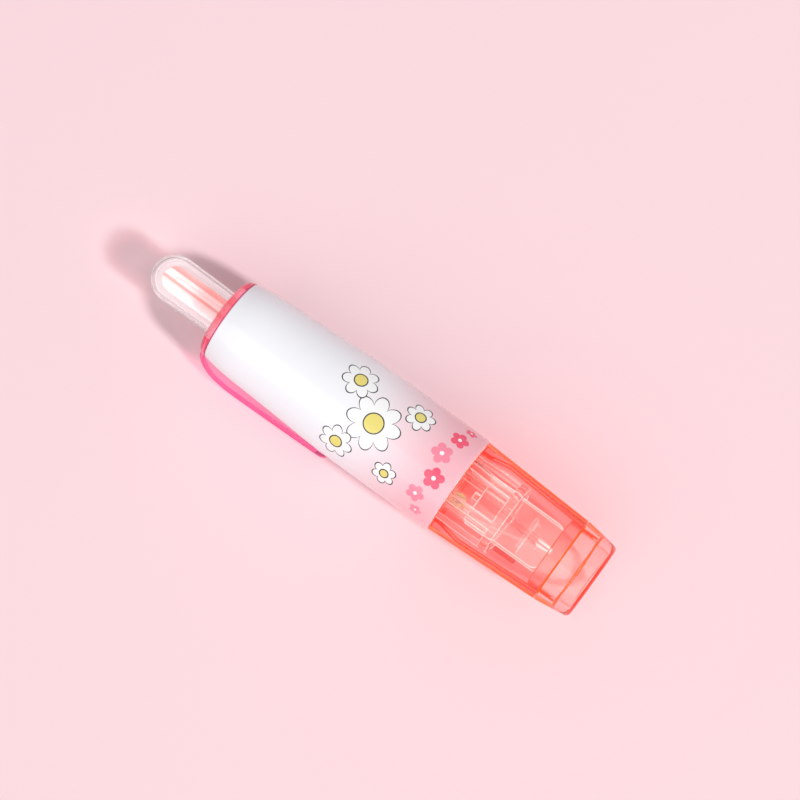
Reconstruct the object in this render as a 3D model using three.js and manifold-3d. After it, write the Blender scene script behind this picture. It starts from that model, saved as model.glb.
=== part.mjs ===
// Press-out correction tape in the shape of a fat pen, in millimetres.
// X runs along the pen from its push button to its mouth, and Z is up.
// The pen lies on its barrel with the pocket clip rolled down to one side.

import * as THREE from 'three';
import Module from 'manifold-3d';
import { mergeVertices } from 'three/addons/utils/BufferGeometryUtils.js';

const wasm = await Module();
wasm.setup();

// Lengths along the pen
const buttonReach = 19.7;
const capReach = 2.1;
const bodyLength = 65.4;
const noseLength = 37.8;
const tipRingLength = 8.8;
const pressTravel = 16;

// Barrel and its printed sleeve
const bodyRadius = 12.5;
const rearDrop = 2.2;
const shoulderDrop = 1.4;
const shoulderLength = 5.6;
const waistDrop = 0.9;
const waistLength = 16;
const taperLength = 34.8;
const frontDrop = 0.2;
const frontEase = 5.7;
const sleeveWall = 0.25;
const barrelWall = 1.3;
const guideSeatDepth = 11.3;
const guideSeatStep = 0.6;

// Rear cap and pocket clip
const capRound = 1.6;
const capPlugLength = 6;
const slotCore = 1;
const clipLength = 39;
const clipWidth = 6.8;
const clipWall = 1.3;
const clipRootGap = 0.95;
const clipTipGap = 0.5;
const clipFootDepth = 2;
const clipHeelRun = 0.9;
const clipHeelDrop = 0.2;
const clipBendRun = 3.3;
const clipBendDrop = 1.05;
const clipShoulderRun = 6.6;
const clipShoulderDrop = 0.3;
const clipArmRun = 12;
const clipTipRun = 4;
const clipNubRadius = 1.2;
const clipNubReach = 0.35;
const clipNubSetback = 3;

// Push button and the rod inside it
const buttonWidth = 11.3;
const buttonRootWidth = 10.7;
const buttonThickness = 5.8;
const buttonWall = 0.95;
const buttonRound = 0.8;
const buttonRootLength = 8;
const buttonFlangeWall = 1.3;
const buttonFlangeRim = 1;
const rodWidth = 6.2;
const rodThickness = 3;
const rodGrooveWidth = 1.6;
const rodGrooveDepth = 0.5;
const rodTipGap = 1.6;

// Nose shell and the ring at its mouth
const noseWall = 1.6;
const noseRimLength = 2;
const noseRimTaper = 1.2;
const noseSpigotLength = 5;
const noseSpigotWall = 1.2;
const mouthGap = 0.6439;
const mouthFaceWall = 0.8;
const mouthEaseLength = 1.5;
const mouthEaseDrop = 0.45;
const tipRingStep = 4.4;
const tipRingMidRise = 1.75;
const tipRingRearRise = 2.3;
const tipRingStepRise = 0.5;
const tipSpigotLength = 3.6;

// Clear guide that carries the cassette's arm
const guideDiscWall = 2.2;
const guideRimWall = 1;
const guideRailWall = 1.5389;
const guideRailCount = 6;
const guideRailAngle = THREE.MathUtils.degToRad(16);
const guideCollarLength = 2.3;
const guideCollarX = 36;

// Cassette plates, arm and head
const cassetteThickness = 8;
const plateWall = 1;
const reelBayRoom = 1.0364;
const reelBayCorner = 6;
const bayFrontMargin = 1.1;
const bayNeckBefore = 2;
const bayNeckAfter = 1;
const bayHeelWall = 1.4;
const armWall = 0.8;
const armFrontX = 30;
const headReachX = 50.6;
const headCorner = 2.2;
const headTongueWidth = 2;
const cheekWall = 1.2;
const bladeRootWidth = 2.6;
const bladeRootRun = 5;
const bladeTipRun = 6;
const bladeTipSwell = 0.35;
const bladeTipRadius = 0.35;
const bladeProud = 0.5;
const cheekRibLength = 0.8;
const cheekRibWidth = 8;
const cheekRibProud = 0.4;
const cheekRibX = 43;

// Reels, gears and tape
const tapeWidth = 4.2;
const tapeThickness = 0.24;
const gearSideGap = 0.02;
const gearTopShare = 0.8;
const gearRootShare = 1.05;
const toothRootShare = 0.3;
const toothTipShare = 0.13;
const supplyTeeth = 26;
const takeUpTeeth = 24;
const gearWall = 1;
const supplyX = -20.5;
const supplyTapeSideGap = 1.1;
const usedTapeRadius = 4.2;
const supplyHubRadius = 3;
const takeUpHubRadius = 3.2;
const takeUpSleeveWall = 0.6;
const spindleRadius = 1.5;
const clutchWall = 0.3;
const guidePostX = 7;
const guidePostRadius = 0.8;
const rollerX = 26.6;
const rollerRadius = 1.7;
const tapePass = 0.5;
const wrapStep = 0.45;
const rollerPinRadius = 0.6;

// Return spring, its rod, and the latch
const springDrop = 7;
const springRadius = 1.9;
const springWire = 0.45;
const springTurns = 13;
const springRodRadius = 0.8;
const springRodOverhang = 3;
const springLugX = -18;
const springLugWall = 1.6;
const springLugWidth = 4;
const springLugRim = 1;
const latchPivotX = 9.5;
const latchLength = 12.5;
const latchWidth = 2.4;
const latchWall = 0.9;
const latchPinRadius = 0.7;
const latchPinProud = 0.4;
const latchFollowerRadius = 0.75;
const latchSwing = THREE.MathUtils.degToRad(9);
const latchTabWidth = 5.2;
const latchTabWall = 1.2;
const trackWall = 0.8;
const trackHeight = 1;
const heartTipShare = 0.35;
const heartLobeShare = 0.9;
const heartNotchShare = 0.84;
const heartGap = 0.1;
const heartTipWidth = 0.5;
const heartNotchWidth = 0.8;
const heartLobeWidth = 1.6;

// Clearances and roundness
const runningGap = 0.3;
const fitGap = 0.1;
const joinDepth = 0.5;
const cutPast = 1;
const facets = 24;

// Stations and radii that follow from the sizes above
const tailX = -(buttonReach + capReach + bodyLength + noseLength) / 2;
const capX = tailX + buttonReach;
const bodyX = capX + capReach;
const noseX = bodyX + bodyLength;
const mouthX = noseX + noseLength;
const tipRingX = mouthX - tipRingLength;
const bodyRearRadius = bodyRadius - rearDrop;
const bodyFrontRadius = bodyRadius - frontDrop;
const capFaceRadius = bodyRearRadius - capRound;
const clipRootRise = bodyRadius + clipRootGap + clipWall / 2;
const clipTipRise = bodyRadius + clipTipGap + clipWall / 2;
const clipFootRise = bodyRearRadius - clipFootDepth;
const clipTopRise = clipRootRise + clipWall / 2;
const restRadius = bodyRadius * Math.cos(Math.PI / facets);
const clipLean = Math.asin(restRadius / Math.hypot(clipTopRise, clipWidth / 2))
  - Math.atan2(clipWidth / 2, clipTopRise);
const barrelInset = sleeveWall + fitGap;
const boreFrontRadius = bodyFrontRadius - barrelInset - barrelWall;
const boreRadius = bodyRadius - barrelInset - barrelWall - guideSeatStep;
const guideSeatX = noseX - guideSeatDepth;
const plugRadius = bodyRearRadius - barrelInset - barrelWall - fitGap;
const noseSpigotRadius = boreFrontRadius - fitGap;
const noseSpigotX = noseX - noseSpigotLength;
const noseBoreRadius = noseSpigotRadius - noseSpigotWall;
const halfCassette = cassetteThickness / 2;
const halfBay = Math.sqrt((boreRadius - reelBayRoom) ** 2 - halfCassette ** 2);
const gearModule = (halfBay - gearSideGap) / (supplyTeeth / 2 + gearTopShare);
const takeUpX = supplyX + gearModule * (supplyTeeth + takeUpTeeth) / 2;
const supplyTapeRadius = halfBay - supplyTapeSideGap;
const gearAddendum = gearModule * gearTopShare;
const bayRearX = supplyX - gearModule * supplyTeeth / 2 - gearAddendum - runningGap - bayHeelWall;
const bayFrontX = takeUpX + gearModule * takeUpTeeth / 2 + bayFrontMargin;
const pressedBayX = bayFrontX + bayNeckAfter + pressTravel;
const laneStartX = latchPivotX - latchLength;
const laneEndY = latchLength * Math.sin(latchSwing);
const laneRoom = latchFollowerRadius + runningGap;
const halfTrack = laneEndY + laneRoom + trackWall;
const innerPlate = halfCassette - plateWall;
const railOuter = noseBoreRadius - runningGap;
const guideBoreRadius = railOuter - guideRailWall;
const halfArm = Math.sqrt((guideBoreRadius - runningGap) ** 2 - halfCassette ** 2);
const mouthRadius = Math.hypot(halfArm, halfCassette - fitGap) + mouthGap;
const mouthFaceRadius = mouthRadius + mouthFaceWall;
const tipRingMidRadius = mouthFaceRadius + tipRingMidRise;
const tipRingRearRadius = mouthFaceRadius + tipRingRearRise;
const tipRingStepRadius = mouthRadius + tipRingStepRise;
const guidePostY = halfArm - armWall - guidePostRadius - tapePass;
const rollerY = rollerRadius + tapePass + armWall - halfArm;
const gearBottom = -innerPlate + runningGap;
const gearTop = gearBottom + gearWall;
const tapeBottom = gearTop + fitGap;
const tapeTop = tapeBottom + tapeWidth;

const plasticWhite = 0xf4f4f6;
const coral = 0xff7a68;
const magenta = 0xf04a90;
const clear = 0xf3e6e6;
const olive = 0x9a9468;
const steel = 0xc9ccd0;

// Solids and their geometry

function toSolid(geometry) {
  const bare = geometry.clone();
  bare.deleteAttribute('normal');
  bare.deleteAttribute('uv');
  const merged = mergeVertices(bare, 1e-4);
  const corners = Array.from(merged.index.array);
  const kept = [];
  for (let i = 0; i < corners.length; i += 3) {
    const [a, b, c] = corners.slice(i, i + 3);
    if (a !== b && b !== c && c !== a) kept.push(a, b, c);
  }
  return new wasm.Manifold(new wasm.Mesh({
    numProp: 3,
    vertProperties: merged.attributes.position.array,
    triVerts: Uint32Array.from(kept),
  }));
}

function toGeometry(solid) {
  const mesh = solid.getMesh();
  const geometry = new THREE.BufferGeometry();
  geometry.setAttribute('position', new THREE.BufferAttribute(mesh.vertProperties, 3));
  geometry.setIndex(new THREE.BufferAttribute(mesh.triVerts, 1));
  geometry.computeVertexNormals();
  return geometry;
}

function joined(first, ...others) {
  return toGeometry(others.reduce((sum, one) => sum.add(toSolid(one)), toSolid(first)));
}

function cut(body, ...tools) {
  return toGeometry(tools.reduce((rest, tool) => rest.subtract(toSolid(tool)), toSolid(body)));
}

function node(name, geometry, colour, roughness, metalness = 0) {
  const material = new THREE.MeshStandardMaterial({ color: colour, roughness, metalness });
  const mesh = new THREE.Mesh(geometry, material);
  mesh.name = name;
  return mesh;
}

// Shapes used more than once

// A ring turned around X, from [x, radius] points: outside front to back comes last.
function turned(outline) {
  const points = outline.map(([x, radius]) => new THREE.Vector2(radius, x));
  points.push(points[0].clone());
  const geometry = new THREE.LatheGeometry(points, facets);
  geometry.rotateZ(-Math.PI / 2);
  geometry.rotateX(Math.PI / facets);
  return geometry;
}

function block(x0, x1, y0, y1, z0, z1) {
  const geometry = new THREE.BoxGeometry(x1 - x0, y1 - y0, z1 - z0);
  geometry.translate((x0 + x1) / 2, (y0 + y1) / 2, (z0 + z1) / 2);
  return geometry;
}

function uprightPin(radius, x, y, z0, z1, sides = 16) {
  const geometry = new THREE.CylinderGeometry(radius, radius, z1 - z0, sides);
  geometry.rotateX(Math.PI / 2);
  geometry.translate(x, y, (z0 + z1) / 2);
  return geometry;
}

function lengthwisePin(radius, x0, x1, z, sides = 16) {
  const geometry = new THREE.CylinderGeometry(radius, radius, x1 - x0, sides);
  geometry.rotateZ(Math.PI / 2);
  geometry.translate((x0 + x1) / 2, 0, z);
  return geometry;
}

function plate(shape, z0, z1) {
  const options = { depth: z1 - z0, bevelEnabled: false, curveSegments: 6 };
  const geometry = new THREE.ExtrudeGeometry(shape, options);
  geometry.translate(0, 0, z0);
  return geometry;
}

function collar(outer, inner, z0, z1, sides = 24) {
  const shape = new THREE.Shape().absarc(0, 0, outer, 0, Math.PI * 2);
  shape.holes.push(new THREE.Path().absarc(0, 0, inner, 0, Math.PI * 2, true));
  const options = { depth: z1 - z0, bevelEnabled: false, curveSegments: sides };
  const geometry = new THREE.ExtrudeGeometry(shape, options);
  geometry.translate(0, 0, z0);
  return geometry;
}

// A strip of even thickness that follows a line of points.
function strip(points, thickness) {
  const left = [];
  const right = [];
  points.forEach((point, i) => {
    const before = points[Math.max(i - 1, 0)];
    const after = points[Math.min(i + 1, points.length - 1)];
    const along = after.clone().sub(before).normalize();
    const side = new THREE.Vector2(-along.y, along.x).multiplyScalar(thickness / 2);
    left.push(point.clone().add(side));
    right.push(point.clone().sub(side));
  });
  return new THREE.Shape([...right, ...left.reverse()]);
}

// Radius of the printed sleeve along the pen, from the rear cap to the nose.
function sleeveOutline() {
  const rear = new THREE.SplineCurve([
    new THREE.Vector2(bodyX, bodyRearRadius),
    new THREE.Vector2(bodyX + shoulderLength, bodyRadius - shoulderDrop),
    new THREE.Vector2(bodyX + waistLength, bodyRadius - waistDrop),
    new THREE.Vector2(bodyX + taperLength, bodyRadius),
  ]);
  const points = rear.getPoints(9).map((point) => [point.x, point.y]);
  points.push([noseX - frontEase, bodyRadius]);
  points.push([noseX - frontEase / 2, (bodyRadius * 3 + bodyFrontRadius) / 4]);
  points.push([noseX, bodyFrontRadius]);
  return points;
}

function inset(outline, depth) {
  return outline.map(([x, radius]) => [x, radius - depth]);
}

// Outer case

function barrelTube() {
  const outside = inset(sleeveOutline(), barrelInset);
  const taper = inset(sleeveOutline(), barrelInset + barrelWall)
    .filter(([x, radius]) => x < guideSeatX && radius < boreRadius);
  return turned([
    ...outside,
    [noseX, boreFrontRadius],
    [guideSeatX, boreFrontRadius],
    [guideSeatX, boreRadius],
    [bodyX + taperLength, boreRadius],
    ...taper.reverse(),
  ]);
}

function labelSleeve() {
  return turned([...sleeveOutline(), ...inset(sleeveOutline(), sleeveWall).reverse()]);
}

function rearCap() {
  const rimX = bodyX - fitGap;
  const corner = [];
  for (let step = 0; step <= 4; step += 1) {
    const turn = Math.PI / 2 * step / 4;
    corner.push([
      rimX - (rimX - capX) * Math.cos(turn),
      capFaceRadius + (bodyRearRadius - capFaceRadius) * Math.sin(turn),
    ]);
  }
  const front = bodyX + capPlugLength;
  const body = turned([
    ...corner,
    [rimX, plugRadius],
    [front, plugRadius],
    [front, slotCore],
    [capX, slotCore],
  ]);
  const slot = buttonOutline(capX - cutPast, front + cutPast, runningGap);
  const heel = clipTurned(block(
    capX - cutPast, capX + clipWall + 2 * runningGap,
    clipFootRise - clipWall / 2 - runningGap, bodyRadius,
    -clipWidth / 2 - runningGap, clipWidth / 2 + runningGap,
  ));
  return cut(body, slot, heel);
}

// The clip's own plane holds X and the distance from the pen's axis. It is turned down to the side
// until its edge is level with the flat that the barrel lies on.
function clipTurned(geometry) {
  geometry.rotateX(Math.PI + clipLean);
  return geometry;
}

function pocketClip() {
  const footX = capX + clipWall / 2 + fitGap;
  const endX = capX + clipLength - clipWall / 2;
  const route = new THREE.SplineCurve([
    new THREE.Vector2(footX, clipFootRise),
    new THREE.Vector2(footX, bodyRearRadius - clipHeelDrop),
    new THREE.Vector2(footX + clipHeelRun, (bodyRearRadius * 2 + clipRootRise) / 3),
    new THREE.Vector2(footX + clipBendRun, clipRootRise - clipBendDrop),
    new THREE.Vector2(footX + clipShoulderRun, clipRootRise - clipShoulderDrop),
    new THREE.Vector2(footX + clipArmRun, clipRootRise),
    new THREE.Vector2(endX - clipTipRun, clipTipRise),
    new THREE.Vector2(endX, clipTipRise),
  ]);
  const shape = strip(route.getPoints(28), clipWall);
  const arm = plate(shape, -clipWidth / 2, clipWidth / 2);
  const nubRise = clipTipRise - clipWall / 2 - clipNubReach + clipNubRadius;
  const nubX = endX - clipNubSetback;
  const nub = uprightPin(clipNubRadius, nubX, nubRise, -clipWidth / 2, clipWidth / 2);
  const top = block(
    nubX - 2 * clipNubRadius, nubX + 2 * clipNubRadius,
    clipTipRise, nubRise + 2 * clipNubRadius, -clipWidth, clipWidth,
  );
  return clipTurned(joined(arm, cut(nub, top)));
}

// Push button: a flat clear paddle, hollow from its front end.

function buttonOutline(x0, x1, grow) {
  const half = buttonRootWidth / 2 + grow;
  return block(x0, x1, -half, half, -buttonThickness / 2 - grow, buttonThickness / 2 + grow);
}

function paddle(x0, x1, rootHalf, tipHalf, thickness, round = 0) {
  const shape = new THREE.Shape();
  shape.moveTo(x1, -rootHalf);
  shape.lineTo(x1, rootHalf);
  shape.lineTo(x0 + tipHalf, tipHalf);
  shape.absarc(x0 + tipHalf, 0, tipHalf, Math.PI / 2, Math.PI * 1.5, false);
  const options = {
    depth: thickness - 2 * round,
    curveSegments: 14,
    bevelEnabled: round > 0,
    bevelThickness: round,
    bevelSize: round,
    bevelOffset: -round,
    bevelSegments: 2,
  };
  const geometry = new THREE.ExtrudeGeometry(shape, options);
  geometry.translate(0, 0, round - thickness / 2);
  return geometry;
}

const buttonFrontX = bodyX + buttonRootLength;

function pushButton() {
  const rootHalf = buttonRootWidth / 2;
  const tipHalf = buttonWidth / 2;
  const outside = paddle(tailX, buttonFrontX, rootHalf, tipHalf, buttonThickness, buttonRound);
  const inside = paddle(
    tailX + buttonWall, buttonFrontX + cutPast,
    rootHalf - buttonWall, tipHalf - buttonWall, buttonThickness - 2 * buttonWall,
  );
  const flangeX = bodyX + capPlugLength + runningGap;
  const flange = block(
    flangeX, flangeX + buttonFlangeWall,
    -rootHalf - buttonFlangeRim, rootHalf + buttonFlangeRim,
    -buttonThickness / 2 - buttonFlangeRim, buttonThickness / 2 + buttonFlangeRim,
  );
  return cut(joined(outside, flange), inside);
}

function plungerRod() {
  const rear = tailX + buttonWall + rodTipGap;
  const front = bayRearX - runningGap;
  const half = rodWidth / 2;
  const rod = paddle(rear, front, half, half, rodThickness);
  const grooveRear = rear + rodWidth / 2;
  const grooves = [-1, 1].map((side) => block(
    grooveRear, front + cutPast,
    -rodGrooveWidth / 2, rodGrooveWidth / 2,
    side > 0 ? rodThickness / 2 - rodGrooveDepth : -rodThickness / 2 - cutPast,
    side > 0 ? rodThickness / 2 + cutPast : -rodThickness / 2 + rodGrooveDepth,
  ));
  return cut(rod, ...grooves);
}

// Nose

function noseOutside(x) {
  const share = (x - noseX) / (tipRingX - noseX);
  return bodyFrontRadius - fitGap + (tipRingRearRadius - bodyFrontRadius + fitGap) * share;
}

function noseShell() {
  const rear = noseX + fitGap;
  const front = tipRingX - fitGap;
  const rim = rear + noseRimLength;
  return turned([
    [noseSpigotX, noseSpigotRadius],
    [rear, noseSpigotRadius],
    [rear, noseOutside(rear)],
    [front, noseOutside(front)],
    [front, noseOutside(front) - noseWall],
    [rim + noseRimTaper, noseOutside(rim) - noseWall],
    [rim, noseBoreRadius],
    [noseSpigotX, noseBoreRadius],
  ]);
}

function noseTip() {
  const middle = mouthX - tipRingStep;
  const spigot = tipRingRearRadius - noseWall - fitGap;
  const easeRadius = tipRingMidRadius - mouthEaseDrop;
  const mouthCorner = [];
  for (let step = 0; step <= 3; step += 1) {
    const turn = Math.PI / 2 * step / 3;
    mouthCorner.push([
      mouthX - mouthEaseLength * (1 - Math.sin(turn)),
      mouthFaceRadius + (easeRadius - mouthFaceRadius) * Math.cos(turn),
    ]);
  }
  return turned([
    [tipRingX - tipSpigotLength, spigot],
    [tipRingX, spigot],
    [tipRingX, tipRingRearRadius],
    [middle, tipRingMidRadius],
    ...mouthCorner,
    [mouthX, mouthRadius],
    [middle, mouthRadius],
    [middle, tipRingStepRadius],
    [tipRingX - tipSpigotLength, tipRingStepRadius],
  ]);
}

// Clear guide between barrel and nose: seat, rails and collar

function frontGuide() {
  const seatX = guideSeatX + fitGap;
  const seatRadius = boreFrontRadius - fitGap;
  const seatEnd = noseSpigotX - fitGap;
  const seat = turned([
    [seatX, seatRadius],
    [seatEnd, seatRadius],
    [seatEnd, seatRadius - guideRimWall],
    [seatX + guideDiscWall, seatRadius - guideRimWall],
    [seatX + guideDiscWall, slotCore],
    [seatX, slotCore],
  ]);
  const ring = turned([
    [guideCollarX, railOuter],
    [guideCollarX + guideCollarLength, railOuter],
    [guideCollarX + guideCollarLength, guideBoreRadius],
    [guideCollarX, guideBoreRadius],
  ]);
  const rails = [];
  const railEnd = guideCollarX + guideCollarLength / 2;
  for (let i = 0; i < guideRailCount; i += 1) {
    const middle = Math.PI * 2 * i / guideRailCount;
    const clearsBay = i % (guideRailCount / 2) !== 0;
    const railX = clearsBay ? seatX + guideDiscWall / 2 : pressedBayX + runningGap;
    const shape = new THREE.Shape();
    shape.absarc(0, 0, railOuter, middle - guideRailAngle / 2, middle + guideRailAngle / 2, false);
    shape.absarc(0, 0, guideBoreRadius, middle + guideRailAngle / 2, middle - guideRailAngle / 2, true);
    const options = { depth: railEnd - railX, bevelEnabled: false, curveSegments: 2 };
    const rail = new THREE.ExtrudeGeometry(shape, options);
    rail.rotateX(Math.PI / 2);
    rail.rotateZ(Math.PI / 2);
    rail.translate(railX, 0, 0);
    rails.push(rail);
  }
  const tabTop = halfCassette + trackHeight + latchWall + 2 * runningGap + latchTabWall;
  const tab = block(
    latchPivotX - latchTabWidth / 2, seatX + guideDiscWall / 2,
    -latchTabWidth / 2, latchTabWidth / 2, tabTop - latchTabWall, tabTop,
  );
  const window = block(
    seatX - cutPast, seatX + guideDiscWall + cutPast,
    -halfBay - runningGap, halfBay + runningGap,
    -halfCassette - runningGap, halfCassette + runningGap,
  );
  const trackNotch = block(
    seatX - cutPast, seatX + guideDiscWall + cutPast,
    -halfTrack - runningGap, halfTrack + runningGap,
    0, halfCassette + trackHeight + runningGap,
  );
  const rodHole = lengthwisePin(
    springRodRadius + fitGap, seatX - cutPast, seatX + guideDiscWall + cutPast, -springDrop,
  );
  const pivotHole = uprightPin(
    latchPinRadius + fitGap, latchPivotX, 0, tabTop - latchTabWall - cutPast, tabTop + cutPast,
  );
  return cut(joined(seat, ring, ...rails, tab), window, trackNotch, rodHole, pivotHole);
}

// Cassette

function bayShape(frontX) {
  const r = reelBayCorner;
  const shape = new THREE.Shape();
  shape.moveTo(bayRearX + r, -halfBay);
  shape.lineTo(bayFrontX - bayNeckBefore, -halfBay);
  shape.lineTo(bayFrontX + bayNeckAfter, -halfArm);
  shape.lineTo(frontX, -halfArm);
  shape.lineTo(frontX, halfArm);
  shape.lineTo(bayFrontX + bayNeckAfter, halfArm);
  shape.lineTo(bayFrontX - bayNeckBefore, halfBay);
  shape.lineTo(bayRearX + r, halfBay);
  shape.absarc(bayRearX + r, halfBay - r, r, Math.PI / 2, Math.PI, false);
  shape.absarc(bayRearX + r, -halfBay + r, r, Math.PI, Math.PI * 1.5, false);
  return shape;
}

function cassetteBase() {
  const floor = plate(bayShape(armFrontX), -halfCassette, -innerPlate);
  const top = innerPlate - fitGap;
  const bottom = -innerPlate - joinDepth;
  const spindles = [supplyX, takeUpX].map((x) => uprightPin(spindleRadius, x, 0, bottom, top));
  const post = uprightPin(guidePostRadius, guidePostX, guidePostY, bottom, top, 12);
  const walls = [-1, 1].map((side) => {
    const y = side * (halfArm - armWall / 2);
    return block(guidePostX + guidePostRadius, armFrontX, y - armWall / 2, y + armWall / 2, bottom, top);
  });
  const lugBottom = -springDrop - springRodRadius - runningGap - springLugRim;
  const lug = block(
    springLugX - springLugWall, springLugX,
    -springLugWidth / 2, springLugWidth / 2, lugBottom, -halfCassette + joinDepth,
  );
  const hole = lengthwisePin(
    springRodRadius + runningGap, springLugX - springLugWall - cutPast, springLugX + cutPast, -springDrop,
  );
  const heel = block(bayRearX, bayRearX + bayHeelWall, -rodWidth / 2, rodWidth / 2, bottom, top);
  return cut(joined(floor, heel, ...spindles, post, ...walls, lug), hole);
}

// The latch's follower runs from the lane's start to its end as the button is pressed.
function latchTrack() {
  const z0 = halfCassette - joinDepth;
  const z1 = halfCassette + trackHeight;
  const rear = laneStartX - pressTravel - laneRoom - trackWall;
  const front = laneStartX + laneRoom + trackWall;
  const rails = [-1, 1].map((side) => {
    const y = side * (halfTrack - trackWall / 2);
    return block(rear, front, y - trackWall / 2, y + trackWall / 2, z0, z1);
  });
  const stop = block(rear, rear + trackWall, -halfTrack, halfTrack, z0, z1);
  const laneY = (x) => laneEndY * (laneStartX - x) / pressTravel;
  const tipX = laneStartX - pressTravel * heartTipShare;
  const lobeX = laneStartX - pressTravel * heartLobeShare;
  const notchX = laneStartX - pressTravel * heartNotchShare;
  const tipY = laneY(tipX) - laneRoom - heartGap;
  const lobeY = laneY(lobeX) - laneRoom - heartGap;
  const heart = new THREE.Shape([
    new THREE.Vector2(tipX, tipY),
    new THREE.Vector2(lobeX, lobeY),
    new THREE.Vector2(notchX, lobeY - heartNotchWidth),
    new THREE.Vector2(lobeX, lobeY - heartLobeWidth),
    new THREE.Vector2(tipX, tipY - heartTipWidth),
  ]);
  return [...rails, stop, plate(heart, z0, z1)];
}

function cassetteCover() {
  return joined(plate(bayShape(armFrontX), innerPlate, halfCassette), ...latchTrack());
}

function applicatorHead() {
  const rear = armFrontX + fitGap;
  const front = headReachX - bladeProud;
  const cheek = new THREE.Shape();
  cheek.moveTo(rear, -halfArm);
  cheek.lineTo(front - headCorner, -halfArm);
  cheek.absarc(front - headCorner, -halfArm + headCorner, headCorner, -Math.PI / 2, 0, false);
  cheek.absarc(front - headCorner, halfArm - headCorner, headCorner, 0, Math.PI / 2, false);
  cheek.lineTo(rear, halfArm);
  const outer = halfCassette - fitGap;
  const inner = outer - cheekWall;
  const blade = new THREE.Shape();
  const tongueX = rollerX + rollerRadius + runningGap;
  const tipX = headReachX - bladeTipRadius;
  const swell = bladeTipRadius + bladeTipSwell;
  blade.moveTo(tongueX, -headTongueWidth / 2);
  blade.lineTo(rear, -headTongueWidth / 2);
  blade.lineTo(rear + bladeRootRun, -bladeRootWidth / 2);
  blade.lineTo(tipX - bladeTipRun, -swell);
  blade.absarc(tipX, 0, bladeTipRadius, -Math.PI / 2, Math.PI / 2, false);
  blade.lineTo(tipX - bladeTipRun, swell);
  blade.lineTo(rear + bladeRootRun, bladeRootWidth / 2);
  blade.lineTo(rear, headTongueWidth / 2);
  blade.lineTo(tongueX, headTongueWidth / 2);
  const ribs = [-1, 1].map((side) => block(
    cheekRibX, cheekRibX + cheekRibLength, -cheekRibWidth / 2, cheekRibWidth / 2,
    side > 0 ? inner : -outer - cheekRibProud, side > 0 ? outer + cheekRibProud : -inner,
  ));
  const web = innerPlate - fitGap;
  return joined(
    plate(cheek, inner, outer), plate(cheek, -outer, -inner), plate(blade, -web, web), ...ribs,
  );
}

// Tape: one ribbon from the supply coil, round the blade and the roller, to the take-up coil

function wrapRoute(stops) {
  const points = [];
  let arrival = null;
  stops.forEach((stop, i) => {
    const centre = new THREE.Vector2(stop.x, stop.y);
    const next = stops[i + 1];
    let leaving = null;
    if (next) {
      const apart = new THREE.Vector2(next.x - stop.x, next.y - stop.y);
      leaving = Math.atan2(apart.y, apart.x) - Math.asin((next.turn - stop.turn) / apart.length());
    }
    const from = arrival ?? leaving;
    let to = leaving ?? arrival;
    while (stop.turn > 0 && to < from) to += Math.PI * 2;
    while (stop.turn < 0 && to > from) to -= Math.PI * 2;
    const isEnd = arrival === null || leaving === null;
    const steps = isEnd ? 0 : Math.max(1, Math.ceil(Math.abs(to - from) / wrapStep));
    for (let k = 0; k <= steps; k += 1) {
      const heading = steps ? from + (to - from) * k / steps : from;
      points.push(new THREE.Vector2(
        centre.x + stop.turn * Math.sin(heading),
        centre.y - stop.turn * Math.cos(heading),
      ));
    }
    arrival = leaving;
  });
  return points;
}

function tapeRun() {
  const lift = tapeThickness / 2 + fitGap;
  const route = wrapRoute([
    { x: supplyX, y: 0, turn: -(supplyTapeRadius + lift) },
    { x: guidePostX, y: guidePostY, turn: -(guidePostRadius + lift) },
    { x: headReachX - bladeTipRadius, y: 0, turn: -(bladeTipRadius + lift) },
    { x: rollerX, y: rollerY, turn: -(rollerRadius + lift) },
    { x: takeUpX, y: 0, turn: usedTapeRadius + lift },
  ]);
  return plate(strip(route, tapeThickness), tapeBottom, tapeTop);
}

// Gears with straight-flanked teeth; the first tooth points along +X, turned by phase teeth

function gear(teeth, bore, phase) {
  const pitch = gearModule * teeth / 2;
  const outer = pitch + gearAddendum;
  const root = pitch - gearModule * gearRootShare;
  const step = Math.PI * 2 / teeth;
  const shape = new THREE.Shape();
  for (let i = 0; i < teeth; i += 1) {
    const middle = (i + phase) * step;
    const flank = [
      [root, -toothRootShare], [outer, -toothTipShare], [outer, toothTipShare], [root, toothRootShare],
    ];
    flank.forEach(([radius, share], k) => {
      const angle = middle + share * step;
      const x = radius * Math.cos(angle);
      const y = radius * Math.sin(angle);
      if (i === 0 && k === 0) shape.moveTo(x, y);
      else shape.lineTo(x, y);
    });
  }
  shape.holes.push(new THREE.Path().absarc(0, 0, bore, 0, Math.PI * 2, true));
  const options = { depth: gearWall, bevelEnabled: false, curveSegments: 10 };
  const geometry = new THREE.ExtrudeGeometry(shape, options);
  geometry.translate(0, 0, gearBottom);
  return geometry;
}

const spindleBore = spindleRadius + fitGap;

function supplyReel() {
  const hub = collar(supplyHubRadius, spindleBore, gearTop - joinDepth, tapeTop, 12);
  return joined(gear(supplyTeeth, spindleBore, 0), hub);
}

function takeUpGear() {
  const sleeve = collar(spindleBore + takeUpSleeveWall, spindleBore, gearTop - joinDepth, tapeTop, 12);
  return joined(gear(takeUpTeeth, spindleBore, 0.5), sleeve);
}

const takeUpBore = spindleBore + takeUpSleeveWall + fitGap;
const reelBottom = gearTop + clutchWall + 2 * fitGap;

// Return spring, one unbroken helix round its rod

class SpringLine extends THREE.Curve {
  constructor(x0, x1) {
    super();
    this.x0 = x0;
    this.x1 = x1;
  }

  getPoint(t, target = new THREE.Vector3()) {
    const turn = Math.PI * 2 * springTurns * t;
    return target.set(
      this.x0 + (this.x1 - this.x0) * t,
      springRadius * Math.cos(turn),
      springRadius * Math.sin(turn) - springDrop,
    );
  }
}

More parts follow.
